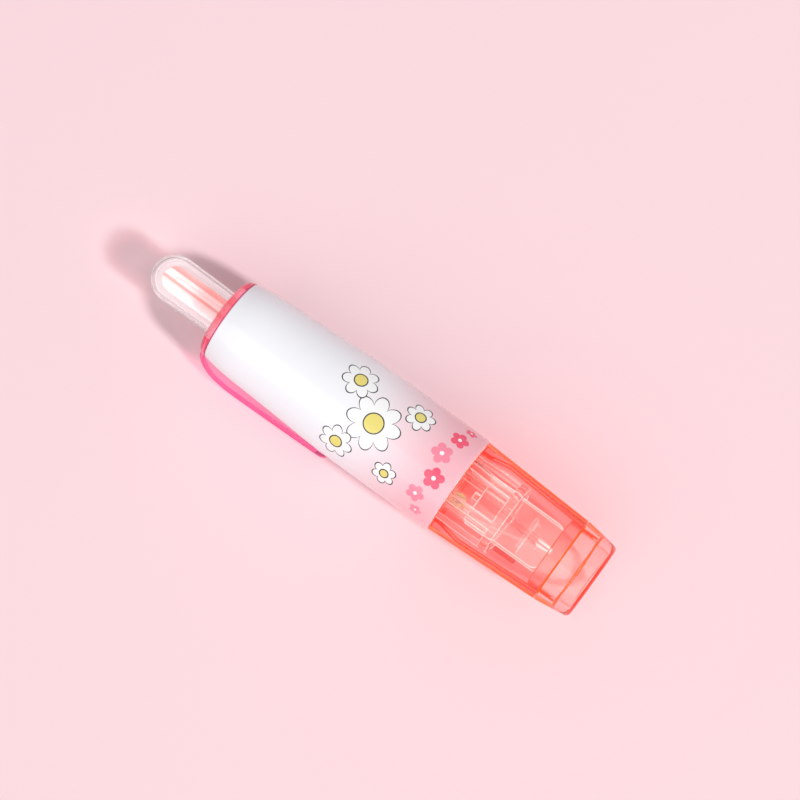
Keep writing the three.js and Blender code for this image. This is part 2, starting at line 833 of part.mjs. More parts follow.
const springRearX = springLugX + runningGap + springWire / 2;
const springFrontX = guideSeatX + fitGap - runningGap - springWire / 2;

function returnSpring() {
  const line = new SpringLine(springRearX, springFrontX);
  const wire = new THREE.Shape();
  for (let i = 0; i < 5; i += 1) {
    const angle = Math.PI * 2 * i / 5;
    const x = springWire / 2 * Math.cos(angle);
    const y = springWire / 2 * Math.sin(angle);
    if (i === 0) wire.moveTo(x, y);
    else wire.lineTo(x, y);
  }
  const options = { steps: springTurns * 8, extrudePath: line, bevelEnabled: false };
  return new THREE.ExtrudeGeometry(wire, options);
}

function leastSpringGap() {
  const line = new SpringLine(springRearX, springFrontX);
  const points = line.getPoints(springTurns * 24);
  let least = Infinity;
  points.forEach((point, i) => {
    for (let k = i + 16; k < points.length; k += 1) {
      least = Math.min(least, point.distanceTo(points[k]) - springWire);
    }
  });
  return least;
}

// Latch arm: turns on its pin, and its follower runs in the track on the cassette's cover

const latchBottom = halfCassette + trackHeight + runningGap;

function latchArm() {
  const half = latchWidth / 2;
  const shape = new THREE.Shape();
  shape.absarc(0, 0, half, -Math.PI / 2, Math.PI / 2, false);
  shape.absarc(-latchLength, 0, half, Math.PI / 2, Math.PI * 1.5, false);
  shape.holes.push(new THREE.Path().absarc(0, 0, latchPinRadius + fitGap, 0, Math.PI * 2, true));
  const bar = plate(shape, latchBottom, latchBottom + latchWall);
  const follower = uprightPin(
    latchFollowerRadius, -latchLength, 0, halfCassette + runningGap, latchBottom + latchWall / 2, 12,
  );
  return joined(bar, follower);
}

// Assembly

const shell = new THREE.Group();
shell.add(
  node('barrel_tube', barrelTube(), plasticWhite, 0.4),
  node('label_sleeve', labelSleeve(), 0xfbf0f3, 0.2),
  node('rear_cap', rearCap(), magenta, 0.15),
  node('front_guide', frontGuide(), clear, 0.08),
  node('spring_rod', lengthwisePin(
    springRodRadius, springLugX - springLugWall - springRodOverhang,
    guideSeatX + guideDiscWall, -springDrop, 12,
  ), steel, 0.3, 1),
  node('return_spring', returnSpring(), steel, 0.3, 1),
  node('latch_pin', uprightPin(
    latchPinRadius, latchPivotX, 0, latchBottom - fitGap,
    latchBottom + latchWall + runningGap + latchTabWall + latchPinProud, 12,
  ), steel, 0.3, 1),
);

const clip = new THREE.Group();
clip.add(node('pocket_clip', pocketClip(), magenta, 0.15));

const nose = new THREE.Group();
nose.add(
  node('nose_shell', noseShell(), coral, 0.08),
  node('nose_tip', noseTip(), coral, 0.08),
);

const cassette = new THREE.Group();
cassette.add(
  node('push_button', pushButton(), clear, 0.06),
  node('plunger_rod', plungerRod(), coral, 0.2),
  node('cassette_base', cassetteBase(), clear, 0.1),
  node('cassette_cover', cassetteCover(), clear, 0.1),
  node('applicator_head', applicatorHead(), clear, 0.06),
  node('tape_run', tapeRun(), plasticWhite, 0.7),
  node('roller_pin', uprightPin(
    rollerPinRadius, rollerX, rollerY, -innerPlate + fitGap, innerPlate - fitGap, 12,
  ), steel, 0.3, 1),
);

const supply = new THREE.Group();
supply.position.x = supplyX;
supply.add(
  node('supply_reel', supplyReel(), plasticWhite, 0.45),
  node('supply_tape', collar(supplyTapeRadius, supplyHubRadius + fitGap, tapeBottom, tapeTop), 0xffffff, 0.8),
);

const takeUp = new THREE.Group();
takeUp.position.x = takeUpX;
takeUp.add(
  node('take_up_gear', takeUpGear(), plasticWhite, 0.45),
  node('clutch_spring', collar(
    takeUpHubRadius, takeUpBore, gearTop + fitGap, gearTop + fitGap + clutchWall, 12,
  ), steel, 0.35, 1),
  node('take_up_reel', collar(takeUpHubRadius, takeUpBore, reelBottom, tapeTop, 12), coral, 0.4),
  node('used_tape', collar(
    usedTapeRadius, takeUpHubRadius + fitGap, reelBottom, tapeTop,
  ), 0xe9dfcf, 0.8),
);

const roller = new THREE.Group();
roller.position.set(rollerX, rollerY, 0);
roller.add(node('guide_roller', collar(
  rollerRadius, rollerPinRadius + fitGap, -innerPlate + runningGap, innerPlate - runningGap, 12,
), olive, 0.35));

const latch = new THREE.Group();
latch.position.x = latchPivotX;
latch.add(node('latch_arm', latchArm(), plasticWhite, 0.4));

cassette.add(supply, takeUp, roller);
const pen = new THREE.Group();
pen.add(shell, clip, nose, cassette, latch);

// The origin lies under the middle of the pen, on the surface that it rests on.
const extent = new THREE.Box3().setFromObject(pen, true);
const middle = extent.getCenter(new THREE.Vector3());
pen.position.set(-middle.x, -middle.y, -extent.min.z);
console.log(`pen axis at y ${pen.position.y.toFixed(4)}, z ${pen.position.z.toFixed(4)}`);
console.log(`clip turned down by ${THREE.MathUtils.radToDeg(clipLean).toFixed(3)} degrees`);
console.log(`spring's least gap to itself ${leastSpringGap().toFixed(2)} mm`);

const model = new THREE.Group();
model.add(pen);
export default model;
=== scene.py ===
import math

import bmesh
import bpy
from mathutils import Matrix, Vector


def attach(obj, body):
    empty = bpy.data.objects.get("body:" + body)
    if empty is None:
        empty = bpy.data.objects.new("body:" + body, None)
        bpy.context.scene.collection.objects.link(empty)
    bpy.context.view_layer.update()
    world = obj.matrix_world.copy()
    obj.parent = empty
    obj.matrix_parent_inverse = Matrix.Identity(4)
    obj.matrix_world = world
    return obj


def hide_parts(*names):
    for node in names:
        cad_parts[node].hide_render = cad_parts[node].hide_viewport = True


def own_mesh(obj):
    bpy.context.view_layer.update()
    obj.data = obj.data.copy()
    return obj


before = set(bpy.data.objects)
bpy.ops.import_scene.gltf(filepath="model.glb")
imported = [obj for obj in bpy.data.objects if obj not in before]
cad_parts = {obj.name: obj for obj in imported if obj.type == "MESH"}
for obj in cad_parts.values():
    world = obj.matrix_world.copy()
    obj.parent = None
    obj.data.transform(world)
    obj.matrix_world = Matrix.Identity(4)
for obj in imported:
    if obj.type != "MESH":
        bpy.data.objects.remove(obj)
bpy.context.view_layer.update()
print("frame loaded")

# Every shape is drawn in millimetres round the pen's axis, then set down in the frame
pen = {
    "axisY": 0.42308,
    "axisZ": 12.39306,
    "tail": -62.5,
    "cap": -42.8,
    "body": -40.7,
    "nose": 24.7,
    "ring": 53.7,
    "mouth": 62.5,
    "fit": 0.1,
}
onAxis = Matrix.Translation((0, pen["axisY"] * 0.001, pen["axisZ"] * 0.001)) @ Matrix.Scale(0.001, 4)


# Materials


def linear(hexColour):
    channels = [int(hexColour[i:i + 2], 16) / 255 for i in (1, 3, 5)]
    return tuple(c / 12.92 if c <= 0.04045 else ((c + 0.055) / 1.055) ** 2.4 for c in channels) + (1,)


def addNode(tree, kind, settings=None, links=None):
    node = tree.nodes.new(kind)
    for key, value in (settings or {}).items():
        if isinstance(key, int) or key in node.inputs:
            node.inputs[key].default_value = value
        else:
            setattr(node, key, value)
    for key, source in (links or {}).items():
        socket = source.outputs[0] if isinstance(source, bpy.types.Node) else source
        tree.links.new(socket, node.inputs[key])
    return node


# A material, its node tree and the point on its piece that patterns read
def newMaterial(name):
    material = bpy.data.materials.new(name)
    material.use_nodes = True
    tree = material.node_tree
    tree.nodes.clear()
    place = addNode(tree, "ShaderNodeTexCoord")
    return material, tree, place.outputs["Object"]


# Lamps shine through a clear piece: their shadow rays meet only a tint
def lampsPass(tree, shell, hexColour):
    rays = addNode(tree, "ShaderNodeLightPath")
    passing = addNode(tree, "ShaderNodeBsdfTransparent", {"Color": linear(hexColour)})
    surface = addNode(tree, "ShaderNodeMixShader", None, {
        0: rays.outputs["Is Shadow Ray"], 1: shell, 2: passing,
    })
    return addNode(tree, "ShaderNodeOutputMaterial", None, {"Surface": surface})


# Clear plastics share their build: a polished shell whose colour deepens with the depth of plastic, with a
# painted edge tint towards its silhouettes, a painted glow on its surface and a painted glow inside it
def seeThroughPlastic(name, look):
    material, tree, spot = newMaterial(name)
    flow = addNode(tree, "ShaderNodeTexNoise", {"Scale": look["flowScale"], "Detail": 2.0}, {"Vector": spot})
    handling = addNode(tree, "ShaderNodeTexNoise", {"Scale": 260.0, "Detail": 4.0}, {"Vector": spot})
    rough = addNode(tree, "ShaderNodeMapRange", {
        "From Min": 0.35, "From Max": 0.75, "To Min": 0.0, "To Max": 0.04,
    }, {"Value": handling})
    ripple = addNode(tree, "ShaderNodeBump", {
        "Strength": look["ripple"], "Distance": 0.0004,
    }, {"Height": flow})
    # Towards the silhouettes the colour turns to the edge colour: a painted edge tint
    slant = addNode(tree, "ShaderNodeLayerWeight", {"Blend": 0.5})
    edge = addNode(tree, "ShaderNodeMapRange", {
        "interpolation_type": "SMOOTHSTEP", "From Min": 0.55, "From Max": 0.85,
    }, {"Value": slant.outputs["Facing"]})
    colour = addNode(tree, "ShaderNodeMix", {
        "data_type": "RGBA", 6: linear(look["tint"]), 7: linear(look["edge"]),
    }, {0: edge})
    # The shell's emission is a painted glow over the whole surface
    shell = addNode(tree, "ShaderNodeBsdfPrincipled", {
        "IOR": look["ior"], "Transmission Weight": look["clarity"],
        "Emission Color": linear(look.get("glowColour", "#ffffff")),
        "Emission Strength": look.get("glow", 0.0),
    }, {"Base Color": colour.outputs[2], "Roughness": rough, "Normal": ripple})
    out = lampsPass(tree, shell, look["passing"])
    if look.get("depthDensity"):
        depth = addNode(tree, "ShaderNodeVolumeAbsorption", {
            "Color": linear(look["depthColour"]), "Density": look["depthDensity"],
        })
        # The emission inside is a painted glow that grows with the depth of plastic
        depthGlow = addNode(tree, "ShaderNodeEmission", {
            "Color": linear(look["depthGlowColour"]), "Strength": look["depthGlow"],
        })
        both = addNode(tree, "ShaderNodeAddShader", None, {0: depth, 1: depthGlow})
        tree.links.new(both.outputs[0], out.inputs["Volume"])
    return material


# Fluorescent coral polystyrene, injection moulded and polished: salmon where it is thin, with a painted
# orange edge tint at its silhouettes and a painted orange glow inside
coralPolystyrene = seeThroughPlastic("coral_polystyrene_moulded", {
    "tint": "#fffaf8", "edge": "#ff6a2c", "passing": "#ffffff",
    "ior": 1.5, "clarity": 1.0, "ripple": 0.02, "flowScale": 120.0,
    "depthColour": "#fb1800", "depthDensity": 205.0, "depthGlowColour": "#ff8a3c", "depthGlow": 15.0,
})
# The same plastic in a paler mix for the ring at the mouth: thin, bright salmon, its brightness partly a
# painted glow inside
paleCoralPolystyrene = seeThroughPlastic("pale_coral_polystyrene_moulded", {
    "tint": "#fffaf8", "edge": "#ff6a2c", "passing": "#ffffff",
    "ior": 1.5, "clarity": 1.0, "ripple": 0.05, "flowScale": 90.0,
    "depthColour": "#fb1c00", "depthDensity": 80.0, "depthGlowColour": "#ff7a34", "depthGlow": 20.0,
})
# See-through magenta polystyrene, injection moulded: deep pink where the light runs along it, with a painted
# pink glow on its surface and inside it
magentaPolystyrene = seeThroughPlastic("magenta_polystyrene_moulded", {
    "tint": "#fff6fa", "edge": "#f75fa0", "passing": "#ffdde8",
    "ior": 1.5, "clarity": 1.0, "ripple": 0.12, "flowScale": 160.0,
    "depthColour": "#fd00c4", "depthDensity": 120.0, "depthGlowColour": "#ff7ab4", "depthGlow": 8.0,
    "glowColour": "#ff5a9c", "glow": 0.08,
})
# The same plastic where it is turned thin round the rear edge: salmon pink with deeper ripples and a faint
# painted glow on its surface and inside it
magentaRing = seeThroughPlastic("magenta_polystyrene_moulded_ring", {
    "tint": "#fff6fa", "edge": "#e8508c", "passing": "#ffdde8",
    "ior": 1.5, "clarity": 1.0, "ripple": 0.35, "flowScale": 260.0,
    "depthColour": "#fd1058", "depthDensity": 95.0, "depthGlowColour": "#ff6a9a", "depthGlow": 6.0,
    "glowColour": "#ff6a98", "glow": 0.06,
})
# Water-clear styrene, injection moulded and polished: a painted edge tint draws thin lines at its
# silhouettes, and a faint painted glow lightens it
clearStyrene = seeThroughPlastic("clear_styrene_moulded", {
    "tint": "#ffffff", "edge": "#f2e6ea", "passing": "#e6d0d4", "glow": 0.06,
    "ior": 1.46, "clarity": 0.98, "ripple": 0.012, "flowScale": 180.0,
})
# The same styrene on the parts that slide, with faint flow marks
hazyStyrene = seeThroughPlastic("hazy_styrene_moulded", {
    "tint": "#fffdfc", "edge": "#f6e8e6", "passing": "#f3e6e6",
    "ior": 1.46, "clarity": 0.985, "ripple": 0.05, "flowScale": 220.0,
})


# Rounded edges of clear mouldings, painted: a glow in their own colour draws them as fine bright lines, and a
# darker colour without glow paints shade
def litEdge(name, look):
    material, tree, spot = newMaterial(name)
    wear = addNode(tree, "ShaderNodeTexNoise", {"Scale": 420.0, "Detail": 3.0}, {"Vector": spot})
    colour = addNode(tree, "ShaderNodeMix", {
        "data_type": "RGBA", 6: linear(look["colour"]), 7: linear(look["worn"]),
    }, {0: wear})
    rough = addNode(tree, "ShaderNodeMapRange", {"To Min": 0.1, "To Max": 0.35}, {"Value": wear})
    shell = addNode(tree, "ShaderNodeBsdfPrincipled", {
        "IOR": 1.48, "Transmission Weight": look["clarity"],
        "Emission Color": linear(look["colour"]), "Emission Strength": look["glow"],
    }, {"Base Color": colour.outputs[2], "Roughness": rough})
    lampsPass(tree, shell, "#fff4f4")
    return material


# Coral polystyrene edges, moulded: a painted orange glow draws them as orange lines
coralEdge = litEdge("coral_polystyrene_moulded_edge", {
    "colour": "#ff5010", "worn": "#ff7038", "clarity": 0.4, "glow": 0.55,
})
# The mouth's rim, moulded thick: a painted deep red shade with a faint painted glow
deepEdge = litEdge("coral_polystyrene_mouth_edge", {
    "colour": "#d81c04", "worn": "#e63a18", "clarity": 0.35, "glow": 0.25,
})
# Blade tip of clear styrene: a painted white highlight that glows as a white spark
tipHighlight = litEdge("clear_styrene_tip_painted_highlight", {
    "colour": "#ffffff", "worn": "#fff0ee", "clarity": 0.3, "glow": 0.5,
})
# Magenta polystyrene edges, moulded: painted darker pink outlines of shade, with a faint painted glow
magentaEdge = litEdge("magenta_polystyrene_moulded_edge", {
    "colour": "#cc2470", "worn": "#e0488a", "clarity": 0.5, "glow": 0.06,
})
# Cassette stops: a painted shade of dull brick red, darker than the coral around them
stopShade = litEdge("coral_polystyrene_stop_painted_shade", {
    "colour": "#b8403c", "worn": "#c85a50", "clarity": 0.3, "glow": 0.0,
})
# Clear styrene edges, moulded: a painted warm white glow draws them as lines
clearEdge = litEdge("clear_styrene_moulded_edge", {
    "colour": "#fff0ec", "worn": "#ffd8d4", "clarity": 0.5, "glow": 0.45,
})


# Milky and opaque pieces share theirs: clouded colour under a fine grain
def plainPlastic(name, look):
    material, tree, spot = newMaterial(name)
    cloud = addNode(tree, "ShaderNodeTexNoise", {"Scale": 90.0, "Detail": 3.0}, {"Vector": spot})
    grain = addNode(tree, "ShaderNodeTexNoise", {
        "Scale": look["grainScale"], "Detail": 5.0,
    }, {"Vector": spot})
    colour = addNode(tree, "ShaderNodeMix", {
        "data_type": "RGBA", 6: linear(look["dark"]), 7: linear(look["light"]),
    }, {0: cloud})
    rough = addNode(tree, "ShaderNodeMapRange", {
        "To Min": look["roughness"] - 0.06, "To Max": look["roughness"] + 0.08,
    }, {"Value": cloud})
    bump = addNode(tree, "ShaderNodeBump", {"Strength": look["bump"], "Distance": 0.0001}, {"Height": grain})
    shell = addNode(tree, "ShaderNodeBsdfPrincipled", {
        "Metallic": look.get("metallic", 0.0), "Alpha": look.get("alpha", 1.0),
        "Subsurface Weight": look.get("milky", 0.0), "Subsurface Radius": (0.002, 0.0008, 0.0006),
    }, {"Base Color": colour.outputs[2], "Roughness": rough, "Normal": bump})
    addNode(tree, "ShaderNodeOutputMaterial", None, {"Surface": shell})
    return material


# White ABS, moulded with a fine spark finish: soft even sheen
whiteAbs = plainPlastic("white_abs_moulded", {
    "light": "#f6f6f8", "dark": "#efeff2", "roughness": 0.4, "bump": 0.15, "grainScale": 4000.0,
})
# Olive ABS roller, moulded and worn satin by the tape
oliveAbs = plainPlastic("olive_abs_moulded", {
    "light": "#abd488", "dark": "#95bd70", "roughness": 0.38, "bump": 0.2, "grainScale": 3000.0,
})
# Coral polypropylene rod, moulded: milky, with light carried along its ribs
coralPolypropylene = plainPlastic("coral_polypropylene_moulded", {
    "light": "#ffc4bc", "dark": "#ffb2a8", "roughness": 0.3, "bump": 0.1, "grainScale": 2500.0,
    "milky": 0.3,
})
# Spring steel, drawn: fine streaks and a cool gleam
drawnSteel = plainPlastic("spring_steel_drawn", {
    "light": "#d2d5da", "dark": "#b9bcc2", "roughness": 0.25, "bump": 0.3, "grainScale": 2200.0,
    "metallic": 1.0,
})
# Correction film on glassine, coated: flat chalky white
coatedFilm = plainPlastic("correction_film_coated", {
    "light": "#fafaf8", "dark": "#f1f1ee", "roughness": 0.75, "bump": 0.3, "grainScale": 5000.0,
})
# The same film where it runs, one layer thick: it lets the light through
runningFilm = plainPlastic("correction_film_running", {
    "light": "#fff6f4", "dark": "#ffeeea", "roughness": 0.6, "bump": 0.2, "grainScale": 5000.0,
    "alpha": 0.4,
})
# Used glassine carrier, calendered: warm and faintly waxy
usedGlassine = plainPlastic("used_glassine_calendered", {
    "light": "#eee5d2", "dark": "#e2d6bf", "roughness": 0.5, "bump": 0.3, "grainScale": 2600.0,
})


# Polypropylene rod, moulded: a painted highlight as its white side, and two coral ribs with a pale groove
# between them
rodBandsAndHighlight = {
    "half": 3.1,
    "bands": (
        (0.0, "#fff8f8"), (0.35, "#ffb9b4"), (0.38, "#ff8178"), (0.47, "#ff9c94"),
        (0.5, "#ffd2cf"), (0.76, "#ffc4c0"), (0.8, "#ff6f66"), (0.95, "#ff8f87"),
    ),
}
rodMaterial, tree, spot = newMaterial("polypropylene_rod_painted_highlight")
parts = addNode(tree, "ShaderNodeSeparateXYZ", None, {0: spot})
across = addNode(tree, "ShaderNodeMapRange", {
    "From Min": (pen["axisY"] - rodBandsAndHighlight["half"]) * 0.001,
    "From Max": (pen["axisY"] + rodBandsAndHighlight["half"]) * 0.001,
}, {"Value": parts.outputs["Y"]})
ramp = addNode(tree, "ShaderNodeValToRGB", None, {0: across})
for i, (station, hexColour) in enumerate(rodBandsAndHighlight["bands"]):
    stop = ramp.color_ramp.elements[i] if i < 2 else ramp.color_ramp.elements.new(station)
    stop.position = station
    stop.color = linear(hexColour)
flow = addNode(tree, "ShaderNodeTexNoise", {"Scale": 500.0, "Detail": 3.0}, {"Vector": spot})
satin = addNode(tree, "ShaderNodeMapRange", {"To Min": 0.22, "To Max": 0.36}, {"Value": flow})
rodShell = addNode(tree, "ShaderNodeBsdfPrincipled", {
    "Subsurface Weight": 0.2, "Subsurface Radius": (0.002, 0.0008, 0.0006),
}, {"Base Color": ramp, "Roughness": satin})
addNode(tree, "ShaderNodeOutputMaterial", None, {"Surface": rodShell})

print("materials made")

# Printed polypropylene film, gravure printed and glossy: white that fades to pink towards the nose, with a
# generic print of daisies and small pink blossoms
label = {
    "radius": 12.5,
    "white": "#fafafe",
    "pink": "#ffbdc7",
    "fadeFrom": -8.0,
    "fadeTo": 24.0,
    "ink": "#3c3a40",
    "petal": "#ffffff",
    "yolk": "#f2e27c",
    "blossom": "#ff5878",
    "paleBlossom": "#ff8fa6",
    "lineWidth": 0.3,
    "petalDip": 0.38,
    "petalPower": 0.7,
    "daisyCore": 0.36,
    "blossomCore": 0.2,
    # along the pen, round it from the top towards the clip, radius, petals, turn
    "daisies": [
        (1.5, 1.5, 6.6, 8, 0.2),
        (-6.8, -5.2, 4.4, 7, 0.9),
        (9.2, -6.4, 3.6, 7, 0.4),
        (-3.5, 10.6, 4.2, 7, 0.1),
        (9.8, 10.0, 3.0, 6, 0.6),
    ],
    "blossoms": [
        (19.4, -7.8, 2.3, 5, 0.2),
        (18.0, -2.2, 2.6, 5, 0.9),
        (19.8, 3.6, 2.6, 5, 0.5),
        (18.2, 9.2, 2.3, 5, 1.3),
        (20.4, -12.6, 1.5, 5, 0.1),
        (20.2, 13.6, 1.6, 5, 0.1),
    ],
}


# A flower drawn by distance: how far a point lies outside its petals, and from its middle, in mm
def flowerGroup():
    tree = bpy.data.node_groups.new("petalOutline", "ShaderNodeTree")
    for name in ("Point", "Centre"):
        tree.interface.new_socket(name=name, in_out="INPUT", socket_type="NodeSocketVector")
    for name in ("Radius", "Petals", "Turn"):
        tree.interface.new_socket(name=name, in_out="INPUT", socket_type="NodeSocketFloat")
    for name in ("Outside", "Reach"):
        tree.interface.new_socket(name=name, in_out="OUTPUT", socket_type="NodeSocketFloat")
    given = addNode(tree, "NodeGroupInput")
    offset = addNode(tree, "ShaderNodeVectorMath", {"operation": "SUBTRACT"}, {
        0: given.outputs["Point"], 1: given.outputs["Centre"],
    })
    reach = addNode(tree, "ShaderNodeVectorMath", {"operation": "LENGTH"}, {0: offset})
    parts = addNode(tree, "ShaderNodeSeparateXYZ", None, {0: offset})
    angle = addNode(tree, "ShaderNodeMath", {"operation": "ARCTAN2"}, {
        0: parts.outputs["Y"], 1: parts.outputs["X"],
    })
    turned = addNode(tree, "ShaderNodeMath", {"operation": "ADD"}, {0: angle, 1: given.outputs["Turn"]})
    half = addNode(tree, "ShaderNodeMath", {"operation": "MULTIPLY", 1: 0.5}, {0: given.outputs["Petals"]})
    wave = addNode(tree, "ShaderNodeMath", {"operation": "MULTIPLY"}, {0: turned, 1: half})
    swing = addNode(tree, "ShaderNodeMath", {"operation": "COSINE"}, {0: wave})
    lobe = addNode(tree, "ShaderNodeMath", {"operation": "ABSOLUTE"}, {0: swing})
    soft = addNode(tree, "ShaderNodeMath", {"operation": "POWER", 1: label["petalPower"]}, {0: lobe})
    share = addNode(tree, "ShaderNodeMath", {
        "operation": "MULTIPLY_ADD", 1: label["petalDip"], 2: 1 - label["petalDip"],
    }, {0: soft})
    edge = addNode(tree, "ShaderNodeMath", {"operation": "MULTIPLY"}, {0: share, 1: given.outputs["Radius"]})
    outside = addNode(tree, "ShaderNodeMath", {"operation": "SUBTRACT"}, {0: reach.outputs["Value"], 1: edge})
    addNode(tree, "NodeGroupOutput", None, {"Outside": outside, "Reach": reach.outputs["Value"]})
    return tree


def printedFilm():
    material, tree, spot = newMaterial("printed_polypropylene_film")
    inMm = addNode(tree, "ShaderNodeMapping", {
        "vector_type": "POINT", "Location": (0, -pen["axisY"], -pen["axisZ"]), "Scale": (1000, 1000, 1000),
    }, {"Vector": spot})
    parts = addNode(tree, "ShaderNodeSeparateXYZ", None, {0: inMm})
    aside = addNode(tree, "ShaderNodeMath", {"operation": "MULTIPLY", 1: -1.0}, {0: parts.outputs["Y"]})
    angle = addNode(tree, "ShaderNodeMath", {"operation": "ARCTAN2"}, {0: aside, 1: parts.outputs["Z"]})
    around = addNode(tree, "ShaderNodeMath", {"operation": "MULTIPLY", 1: label["radius"]}, {0: angle})
    point = addNode(tree, "ShaderNodeCombineXYZ", None, {0: parts.outputs["X"], 1: around})
    fade = addNode(tree, "ShaderNodeMapRange", {
        "interpolation_type": "SMOOTHSTEP", "From Min": label["fadeFrom"], "From Max": label["fadeTo"],
    }, {"Value": parts.outputs["X"]})
    faded = addNode(tree, "ShaderNodeMix", {
        "data_type": "RGBA", 6: linear(label["white"]), 7: linear(label["pink"]),
    }, {0: fade})
    colour = faded.outputs[2]
    group = flowerGroup()

    def inked(under, measure, limit, hexColour):
        inside = addNode(tree, "ShaderNodeMath", {"operation": "LESS_THAN", 1: limit}, {0: measure})
        mixed = addNode(tree, "ShaderNodeMix", {"data_type": "RGBA", 7: linear(hexColour)}, {
            0: inside, 6: under,
        })
        return mixed.outputs[2]

    def flowerAt(along, beside, radius, petals, turn):
        return addNode(tree, "ShaderNodeGroup", {
            "node_tree": group, "Centre": (along, beside, 0), "Radius": radius,
            "Petals": petals, "Turn": turn,
        }, {"Point": point})

    for daisy in label["daisies"]:
        flower = flowerAt(*daisy)
        core = daisy[2] * label["daisyCore"]
        halfLine = label["lineWidth"] / 2
        colour = inked(colour, flower.outputs["Outside"], halfLine, label["ink"])
        colour = inked(colour, flower.outputs["Outside"], -halfLine, label["petal"])
        colour = inked(colour, flower.outputs["Reach"], core + halfLine, label["ink"])
        colour = inked(colour, flower.outputs["Reach"], core - halfLine, label["yolk"])
    for i, blossom in enumerate(label["blossoms"]):
        flower = flowerAt(*blossom)
        petalInk = label["paleBlossom"] if i % 2 else label["blossom"]
        colour = inked(colour, flower.outputs["Outside"], 0.0, petalInk)
        colour = inked(colour, flower.outputs["Reach"], blossom[2] * label["blossomCore"], label["petal"])
    rub = addNode(tree, "ShaderNodeTexNoise", {"Scale": 140.0, "Detail": 4.0}, {"Vector": spot})
    rough = addNode(tree, "ShaderNodeMapRange", {
        "From Min": 0.3, "From Max": 0.7, "To Min": 0.16, "To Max": 0.24,
    }, {"Value": rub})
    peel = addNode(tree, "ShaderNodeTexNoise", {"Scale": 900.0, "Detail": 2.0}, {"Vector": spot})
    bump = addNode(tree, "ShaderNodeBump", {"Strength": 0.04, "Distance": 0.0001}, {"Height": peel})
    shell = addNode(tree, "ShaderNodeBsdfPrincipled", {
        "IOR": 1.49, "Coat Weight": 0.15, "Coat Roughness": 0.06,
    }, {"Base Color": colour, "Roughness": rough, "Normal": bump})
    addNode(tree, "ShaderNodeOutputMaterial", None, {"Surface": shell})
    return material


filmPrint = printedFilm()
print("print drawn")


# Shaping tools


mergeDistance = 0.0005
cutPast = 1.0  # how far a cutting shape reaches past what it cuts
quarterTurn = [math.pi / 2 * k / 8 for k in range(9)]  # the angles along a rounded corner


def turned(bm, outline, steps=128):
    ring = [bm.verts.new((x, 0, radius)) for x, radius in outline]
    edges = [bm.edges.new(pair) for pair in zip(ring, ring[1:] + ring[:1])]
    bmesh.ops.spin(bm, geom=ring + edges, cent=(0, 0, 0), axis=(1, 0, 0), angle=math.tau,
                   steps=steps, use_merge=True)
    bmesh.ops.recalc_face_normals(bm, faces=bm.faces)


def slab(bm, x0, x1, y0, y1, z0, z1):
    made = bmesh.ops.create_cube(bm, size=1.0)["verts"]
    bmesh.ops.scale(bm, vec=(x1 - x0, y1 - y0, z1 - z0), verts=made)
    bmesh.ops.translate(bm, vec=((x0 + x1) / 2, (y0 + y1) / 2, (z0 + z1) / 2), verts=made)
    return made


def vertsOf(geometry):
    return [v for v in geometry if isinstance(v, bmesh.types.BMVert)]


def everything(bm):
    return list(bm.verts) + list(bm.edges) + list(bm.faces)


# A strip that stands on a line, from one height to another
def strip(points, low, high):
    bm = bmesh.new()
    row = [bm.verts.new((x, y, low)) for x, y in points]
    line = [bm.edges.new(pair) for pair in zip(row, row[1:])]
    grown = bmesh.ops.extrude_edge_only(bm, edges=line)["geom"]
    bmesh.ops.translate(bm, vec=(0, 0, high - low), verts=vertsOf(grown))
    return bm


def roundPin(radius, length, segments, place):
    bm = bmesh.new()
    bmesh.ops.create_cone(bm, cap_ends=True, segments=segments, radius1=radius, radius2=radius, depth=length,
                          matrix=place)
    return bm


def easeEdges(bm, width, segments=3, sharper=28, slot=-1):
    bm.normal_update()
    sharp = [e for e in bm.edges if len(e.link_faces) == 2 and e.calc_face_angle(0) > math.radians(sharper)]
    bmesh.ops.bevel(bm, geom=sharp, offset=width, offset_type="OFFSET", segments=segments, profile=0.5,
                    affect="EDGES", clamp_overlap=True, material=slot)


def smoothLine(points, steps):
    last = len(points) - 1
    line = []
    for k in range(steps + 1):
        reach = last * k / steps
        i = min(int(reach), last - 1)
        t = reach - i
        p0, p1, p2, p3 = (Vector(points[min(max(n, 0), last)]) for n in (i - 1, i, i + 1, i + 2))
        v0, v1 = (p2 - p0) / 2, (p3 - p1) / 2
        cubic = 2 * p1 - 2 * p2 + v0 + v1
        square = 3 * p2 - 3 * p1 - 2 * v0 - v1
        line.append(cubic * t ** 3 + square * t ** 2 + v0 * t + p1)
    return line


# Leaves three empty material slots for finishPiece to fill
def makeObject(bm, name, place=onAxis):
    bmesh.ops.remove_doubles(bm, verts=bm.verts, dist=mergeDistance)
    bmesh.ops.transform(bm, matrix=place, verts=bm.verts)
    mesh = bpy.data.meshes.new(name)
    for filler in range(3):
        mesh.materials.append(None)
    bm.to_mesh(mesh)
    bm.free()
    made = bpy.data.objects.new(name, mesh)
    bpy.context.scene.collection.objects.link(made)
    return made


def addWall(piece, thickness):
    wall = piece.modifiers.new("wall", "SOLIDIFY")
    wall.thickness = thickness * 0.001
    wall.offset = 0


def settle(piece):
    graph = bpy.context.evaluated_depsgraph_get()
    mesh = bpy.data.meshes.new_from_object(piece.evaluated_get(graph))
    piece.modifiers.clear()
    piece.data = mesh


# Joins or cuts closed shapes and removes the tools used
def combine(piece, operation, *others):
    for other in others:
        step = piece.modifiers.new(operation.lower(), "BOOLEAN")
        step.operation = operation
        step.solver = "EXACT"
        step.object = other
        settle(piece)
        bpy.data.objects.remove(other)
    return piece


